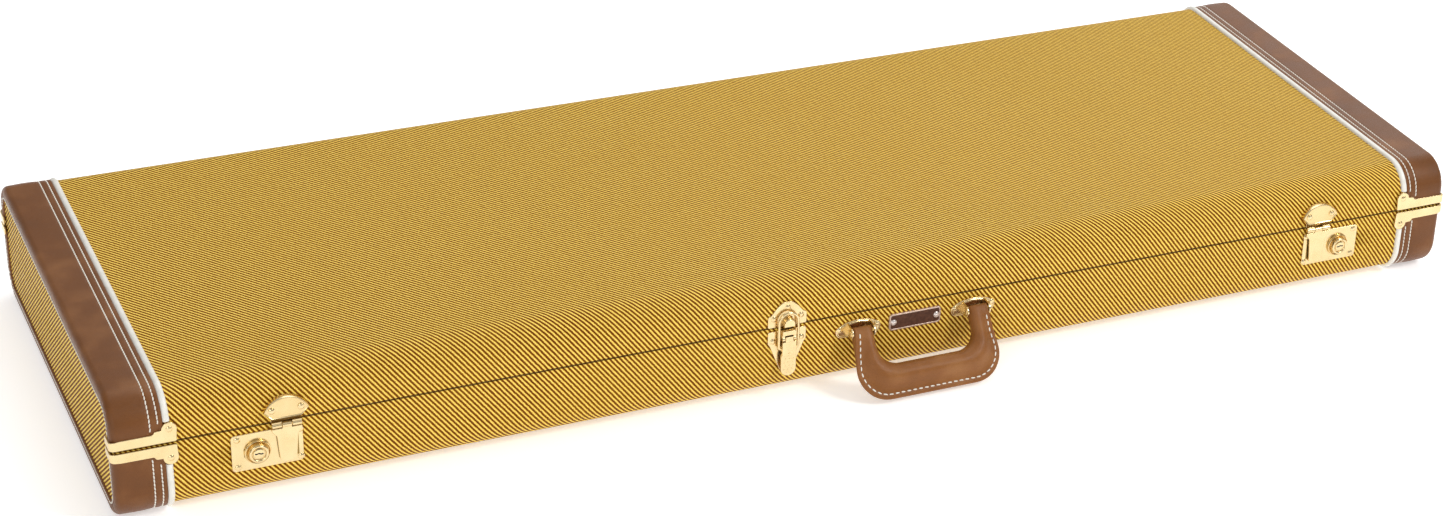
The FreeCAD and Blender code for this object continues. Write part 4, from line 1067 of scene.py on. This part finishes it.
def handle():
    """The padded leather grip with its sewn outer edge, and the stitching on both faces."""
    shares = [
        0.0, 0.012, 0.045, 0.1, 0.17, 0.25, 0.34, 0.43, 0.52, 0.6, 0.68, 0.75, 0.8, 0.82, 0.84, 0.86,
        0.9, 0.94, 0.975, 1.0,
    ]
    bm = bmesh.new()
    rows = []
    for (a, b), (c, d), thick in ribs():
        upper = [(a + (c - a) * s, b + (d - b) * s, grip_height(s, thick, d)) for s in shares]
        lower = [(p, q, -h) for p, q, h in reversed(upper[1:-1])]
        rows.append([on_handle(*point) for point in upper + lower])
    grid(bm, rows)
    body = from_bmesh("handle_leather", bm, [GRIP_LEATHER], 75, False)
    smooth = body.modifiers.new("smooth", "SUBSURF")
    smooth.levels = smooth.render_levels = 1
    settle(body, "handle", "leather", "handle_grip")

    line, heights = [], []
    for (a, b), (c, d), thick in ribs()[4:-4]:
        share = 1 - SEAM_IN / math.dist((a, b), (c, d))
        line.append((a + (c - a) * share, b + (d - b) * share))
        heights.append(grip_height(share, thick, d))
    runs = [0.0]
    for first, second in zip(line, line[1:]):
        runs.append(runs[-1] + math.dist(first, second))
    bm = bmesh.new()
    chance = random.Random(3)
    for side in (1, -1):
        run = 1.0
        while run + STITCH < runs[-1]:
            ends = []
            for where in (run, run + STITCH):
                a, q = (np.interp(where, runs, [point[axis] for point in line]) for axis in (0, 1))
                ends.append(on_handle(a, q, side * (np.interp(where, runs, heights) + 0.05)))
            direction = (ends[1] - ends[0]).normalized()
            normal = FACE_DIRECTION * side
            stitch(bm, *ends, normal, direction.cross(normal), 0.25 + chance.uniform(-0.1, 0.1), 0.52)
            run += STITCH_STEP
    settle(from_bmesh("handle_stitching", bm, [THREAD], 60, False), "handle", None)


def handle_brackets():
    """Arched plates with a raised double rim and two folded ears each."""
    for side in ("left", "right"):
        low, high = span(f"handle_bracket_{side}")
        x = (low[0] + high[0]) / 2
        bm = bmesh.new()
        outline = symmetric([(17.3, 40.6, 4.6), (18.6, 48.8, 4.0), (10.5, 52.6, 14), (0, 54.3, 20)], 8)
        steps = [
            (0.0, 0.7), (0.15, 1.15), (0.3, 1.4), (0.35, 1.4), (0.2, 1.15), (0.2, 1.1), (0.2, 1.3),
            (0.25, 1.5), (0.35, 1.5), (0.3, 1.3), (0.3, 1.2),
        ]
        emboss(bm, outline, steps, at_front(x))
        ear = [(0.6, 42.2)] + arc((PIVOT_OUT, PIVOT_Z), 4.2, -75, 75, 12) + [(0.6, 52.4)]
        pin_head = [(2.9, 0.0), (2.9, 0.5), (2.4, 0.95), (0.0, 1.1)]
        for way in (-1, 1):
            start = x + way * 8.4

            def outward(a, b, h, start=start, way=way):
                return start + way * h, FRONT - a, b

            emboss(bm, ear, soft_edge(SHEET, 0.3), outward)
            lathe(bm, pin_head, lambda a, b, h, put=outward: put(PIVOT_OUT + a, PIVOT_Z + b, h + 1.1), 20)
        metal(f"handle_mount_{side}", bm, "base", f"handle_bracket_{side}")


def badge():
    """A plain plate: light border, dark enamelled field and no lettering."""
    low, high = span("badge_plate")
    bm = bmesh.new()
    steps = [(0.0, 1.1), (0.15, 1.4), (0.2, 1.5), (0.75, 1.5), (0.12, 1.35), (0.1, 1.3), (0.4, 1.3)]
    emboss(bm, plate_outline(low, high, 2.6), steps, at_front(0), tags=[0, 0, 0, 0, 0, 1, 1])
    settle(from_bmesh("badge_face", bm, [BADGE_RIM, BADGE], 40), "base", "badge", "badge_plate")


# ---- lining ----

FRAMES = 20


def swollen(pad):
    """The pad's points after it is blown up as weightless cloth."""
    scene = bpy.context.scene
    cloth = pad.modifiers.new("Cloth", "CLOTH")
    cloth.settings.quality = 4
    cloth.settings.mass = 0.3
    cloth.settings.use_pressure = True
    cloth.settings.uniform_pressure_force = 4
    cloth.settings.effector_weights.gravity = 0
    cloth.point_cache.frame_start, cloth.point_cache.frame_end = 1, FRAMES
    for number in range(1, FRAMES + 1):
        scene.frame_set(number)
    done = pad.evaluated_get(bpy.context.evaluated_depsgraph_get()).data
    points = np.array([vert.co for vert in done.vertices])
    pad.modifiers.remove(cloth)
    scene.frame_set(1)
    return points


def block(low, high, shrink):
    """The eight corners of a box, drawn in by shrink."""
    (x0, y0, z0), (x1, y1, z1) = [value + shrink for value in low], [value - shrink for value in high]
    return [[(x, y, z) for y, z in ((y0, z0), (y1, z0), (y1, z1), (y0, z1))] for x in (x0, x1)]


def soft_block(name, node_box, voxel, cap, body, node, rows):
    """A padded piece: rows of points, remeshed, blown up, capped and kept inside the node's box."""
    bm = bmesh.new()
    grid(bm, rows)
    raw = from_bmesh(f"{name}_raw", bm, [PLUSH], None, False)
    remesh = raw.modifiers.new("cells", "REMESH")
    remesh.mode = "VOXEL"
    remesh.voxel_size = voxel * MM
    mesh = bpy.data.meshes.new_from_object(raw.evaluated_get(bpy.context.evaluated_depsgraph_get()))
    bpy.data.objects.remove(raw)
    mesh.name = name
    pad = new_object(name, mesh, [])
    if not mesh.materials:
        mesh.materials.append(PLUSH)
    before = np.array([vert.co for vert in mesh.vertices])
    moved = swollen(pad) - before
    length = np.linalg.norm(moved, axis=1)[:, None]
    moved *= np.minimum(1, cap * MM / np.maximum(length, 1e-9))
    low, high = (np.array(corner) * MM for corner in node_box)
    final = np.clip(before + moved, low, high)
    mesh.vertices.foreach_set("co", final.astype(np.float32).ravel())
    mesh.update()
    mesh.shade_smooth()
    subdivision = pad.modifiers.new("smooth", "SUBSURF")
    subdivision.levels = subdivision.render_levels = 1
    settle(pad, body, "plush", *([node] if node else []))


def lining():
    """Padding of the base and the lid, the neck block and the neck rest."""
    for name, body, node, shrink, cap, fill in (
        ("floor_padding", "base", "floor_pad", 0.9, 5, 0.4), ("lid_padding", "lid", "lid_pad", 2.2, 8, 0.7),
    ):
        box = span(node)
        soft_block(name, box, 6, cap, body, node, block(*box, shrink))

    walls = {}
    for low, high in islands("wall_padding"):
        if high[0] - low[0] > 500:
            place = "front" if low[1] < MIDDLE else "rear"
        else:
            place = "left" if low[0] < 0 else "right"
        walls[place] = (low, high)
    for place in ("front", "rear", "left", "right"):
        box = walls[place]
        node = "wall_padding" if place == "front" else None
        soft_block(f"{place}_wall_padding", box, 4, 6, "base", node, block(*box, 1.2))

    box = low, high = span("neck_side_block")
    shrink, slope = 1.6, 3.6
    (x0, y0, z0), (x1, y1, z1) = [value + shrink for value in low], [value - shrink for value in high]
    section = [(y0 + slope, z0), (y1, z0), (y1, z1), (y0, z1), (y0, z0 + slope)]
    rows = [[(x, y, z) for y, z in section] for x in (x0, x1)]
    soft_block("neck_block", box, 4.5, 7, "base", "neck_side_block", rows)

    box = low, high = span("neck_rest")
    shrink, dip = 1.2, 5.5
    (x0, y0, z0), (x1, y1, z1) = [value + shrink for value in low], [value - shrink for value in high]
    middle, half = (y0 + y1) / 2, (y1 - y0) / 2
    section = [(y0, z0), (y1, z0)]
    for k in range(8, -9, -1):
        section.append((middle + half * k / 8, z1 - dip * math.cos(math.pi / 2 * k / 8) ** 2))
    rows = [[(x, y, z) for y, z in section] for x in (x0, x1)]
    soft_block("neck_cradle", box, 4, 5, "base", "neck_rest", rows)


def pull_tab():
    """A small leather tab sewn to the accessory box's lid."""
    low, high = span("accessory_pull_tab")
    corners = [(low[0], low[1], 7), (high[0], low[1], 7), (high[0], high[1], 1), (low[0], high[1], 1)]
    bm = bmesh.new()
    emboss(bm, rounded(corners, 8), soft_edge(SHEET, 0.4), lambda a, b, h: (a, b, low[2] + 0.02 + h))
    leather_tab = from_bmesh("pull_tab_leather", bm, [LEATHER], 50)
    settle(leather_tab, "accessory_lid", "leather", "accessory_pull_tab")
    bm = bmesh.new()
    x0, x1, y0, y1 = low[0] + 1.8, high[0] - 1.8, low[1] + 10, high[1] - 1.8
    for first, last in (((x0, y0), (x0, y1)), ((x0, y1), (x1, y1)), ((x1, y1), (x1, y0))):
        first, last = Vector(first), Vector(last)
        count = int((last - first).length // 3)
        for k in range(count):
            ends = [first.lerp(last, (k + share) / count) for share in (0.1, 0.85)]
            side = (last - first).normalized().orthogonal()
            stitch(bm, *[(*end, low[2] + 1.2) for end in ends], (0, 0, 1), (*side, 0), 0.2, 0.4)
    settle(from_bmesh("pull_tab_stitching", bm, [THREAD], 60, False), "accessory_lid", None)


def carried_over():
    """CAD nodes whose shape is right: they get their material and a softened edge."""
    for name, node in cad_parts.items():
        if "panel" in name or "_wall" in name:
            material, width = LINED, 0.5
        elif "moulding" in name or name in ("accessory_box", "accessory_lid"):
            material, width = PLUSH, 1.2
        else:
            material, width = GOLD, 0.3
        node.data.materials.clear()
        node.data.materials.append(material)
        weld = node.modifiers.new("weld", "WELD")
        weld.merge_threshold = 1e-6
        bevel = node.modifiers.new("edges", "BEVEL")
        bevel.width = width * MM
        bevel.segments = 2
        bevel.limit_method = "ANGLE"
        bevel.angle_limit = math.radians(40)
        bevel.use_clamp_overlap = True
        bevel.harden_normals = False
        node.data.shade_smooth()
        node.modifiers.new("shading", "WEIGHTED_NORMAL").keep_sharp = True


def stage():
    """A pale floor, a pale surround and four soft lights, the strongest in front on the right."""
    mesh = bpy.data.meshes.new("floor")
    size = 12
    corners = [(-size, -size, 0), (size, -size, 0), (size, size, 0), (-size, size, 0)]
    mesh.from_pydata(corners, [], [(0, 1, 2, 3)])
    floor = new_object("floor", mesh, [])
    n = Nodes("floor")
    grey = n.ramp(n.noise(0.6, 2), [(0.3, (0.86, 0.86, 0.86)), (0.7, (0.9, 0.9, 0.9))])
    glow = {"Emission_Color": (1, 1, 1, 1), "Emission_Strength": 0.46}
    mesh.materials.append(n.finish(Base_Color=grey, Roughness=0.9, **glow))
    world = bpy.data.worlds.new("surround")
    bpy.context.scene.world = world
    world.use_nodes = True
    tree = world.node_tree
    place = tree.nodes.new("ShaderNodeTexCoord")
    split = tree.nodes.new("ShaderNodeSeparateXYZ")
    ramp = tree.nodes.new("ShaderNodeValToRGB")
    tree.links.new(place.outputs["Generated"], split.inputs[0])
    tree.links.new(split.outputs["Z"], ramp.inputs["Fac"])
    elements = ramp.color_ramp.elements
    elements.new(0.5)
    stops = ((0.0, (0.16, 0.15, 0.13, 1)), (0.28, (0.62, 0.61, 0.6, 1)), (0.75, (1, 1, 1, 1)))
    for element, (position, colour) in zip(elements, stops):
        element.position = position
        element.color = colour
    tree.links.new(ramp.outputs["Color"], tree.nodes["Background"].inputs["Color"])
    tree.nodes["Background"].inputs["Strength"].default_value = 0.58
    lights = (
        ("key", (1.7, -2.0, 2.3), 0.8, 43), ("fill", (-1.9, -2.3, 1.3), 1.3, 17),
        ("top", (0.6, 1.2, 2.5), 2.0, 26), ("back", (2.2, 2.4, 1.4), 2.0, 16),
    )
    for name, spot, size, power in lights:
        light = bpy.data.lights.new(name, "AREA")
        light.size, light.energy = size, power
        lamp = bpy.data.objects.new(name, light)
        bpy.context.scene.collection.objects.link(lamp)
        lamp.location = spot
        lamp.rotation_euler = (Vector((0, 0, 0.05)) - Vector(spot)).to_track_quat("-Z", "Y").to_euler()
    bpy.context.scene.view_settings.view_transform = "Standard"


def camera():
    """In front of the case, above it and beyond its left end; the shift frames the case."""
    data = bpy.data.cameras.new("camera")
    view = bpy.data.objects.new("camera", data)
    bpy.context.scene.collection.objects.link(view)
    data.sensor_width = 36
    data.lens = 76.57
    data.shift_x, data.shift_y = -0.1725, 0.0429
    data.clip_start, data.clip_end = 0.1, 50
    view.location = (-0.8397, -1.9300, 1.1521)
    view.rotation_euler = [math.radians(angle) for angle in (60.858, -3.221, -26.382)]
    bpy.context.scene.camera = view


carried_over()
for part in ("base", "lid"):
    tweed_cover(part)
    corner_clamps(part)
    for side, sign in sides():
        leather_cap(part, side, sign)
        cap_stitching(part, side, sign)
        piping(part, side, sign)
for side, sign in sides():
    lock(side, sign)
draw_latch()
rivets()
handle()
handle_brackets()
badge()
lining()
pull_tab()
stage()
camera()
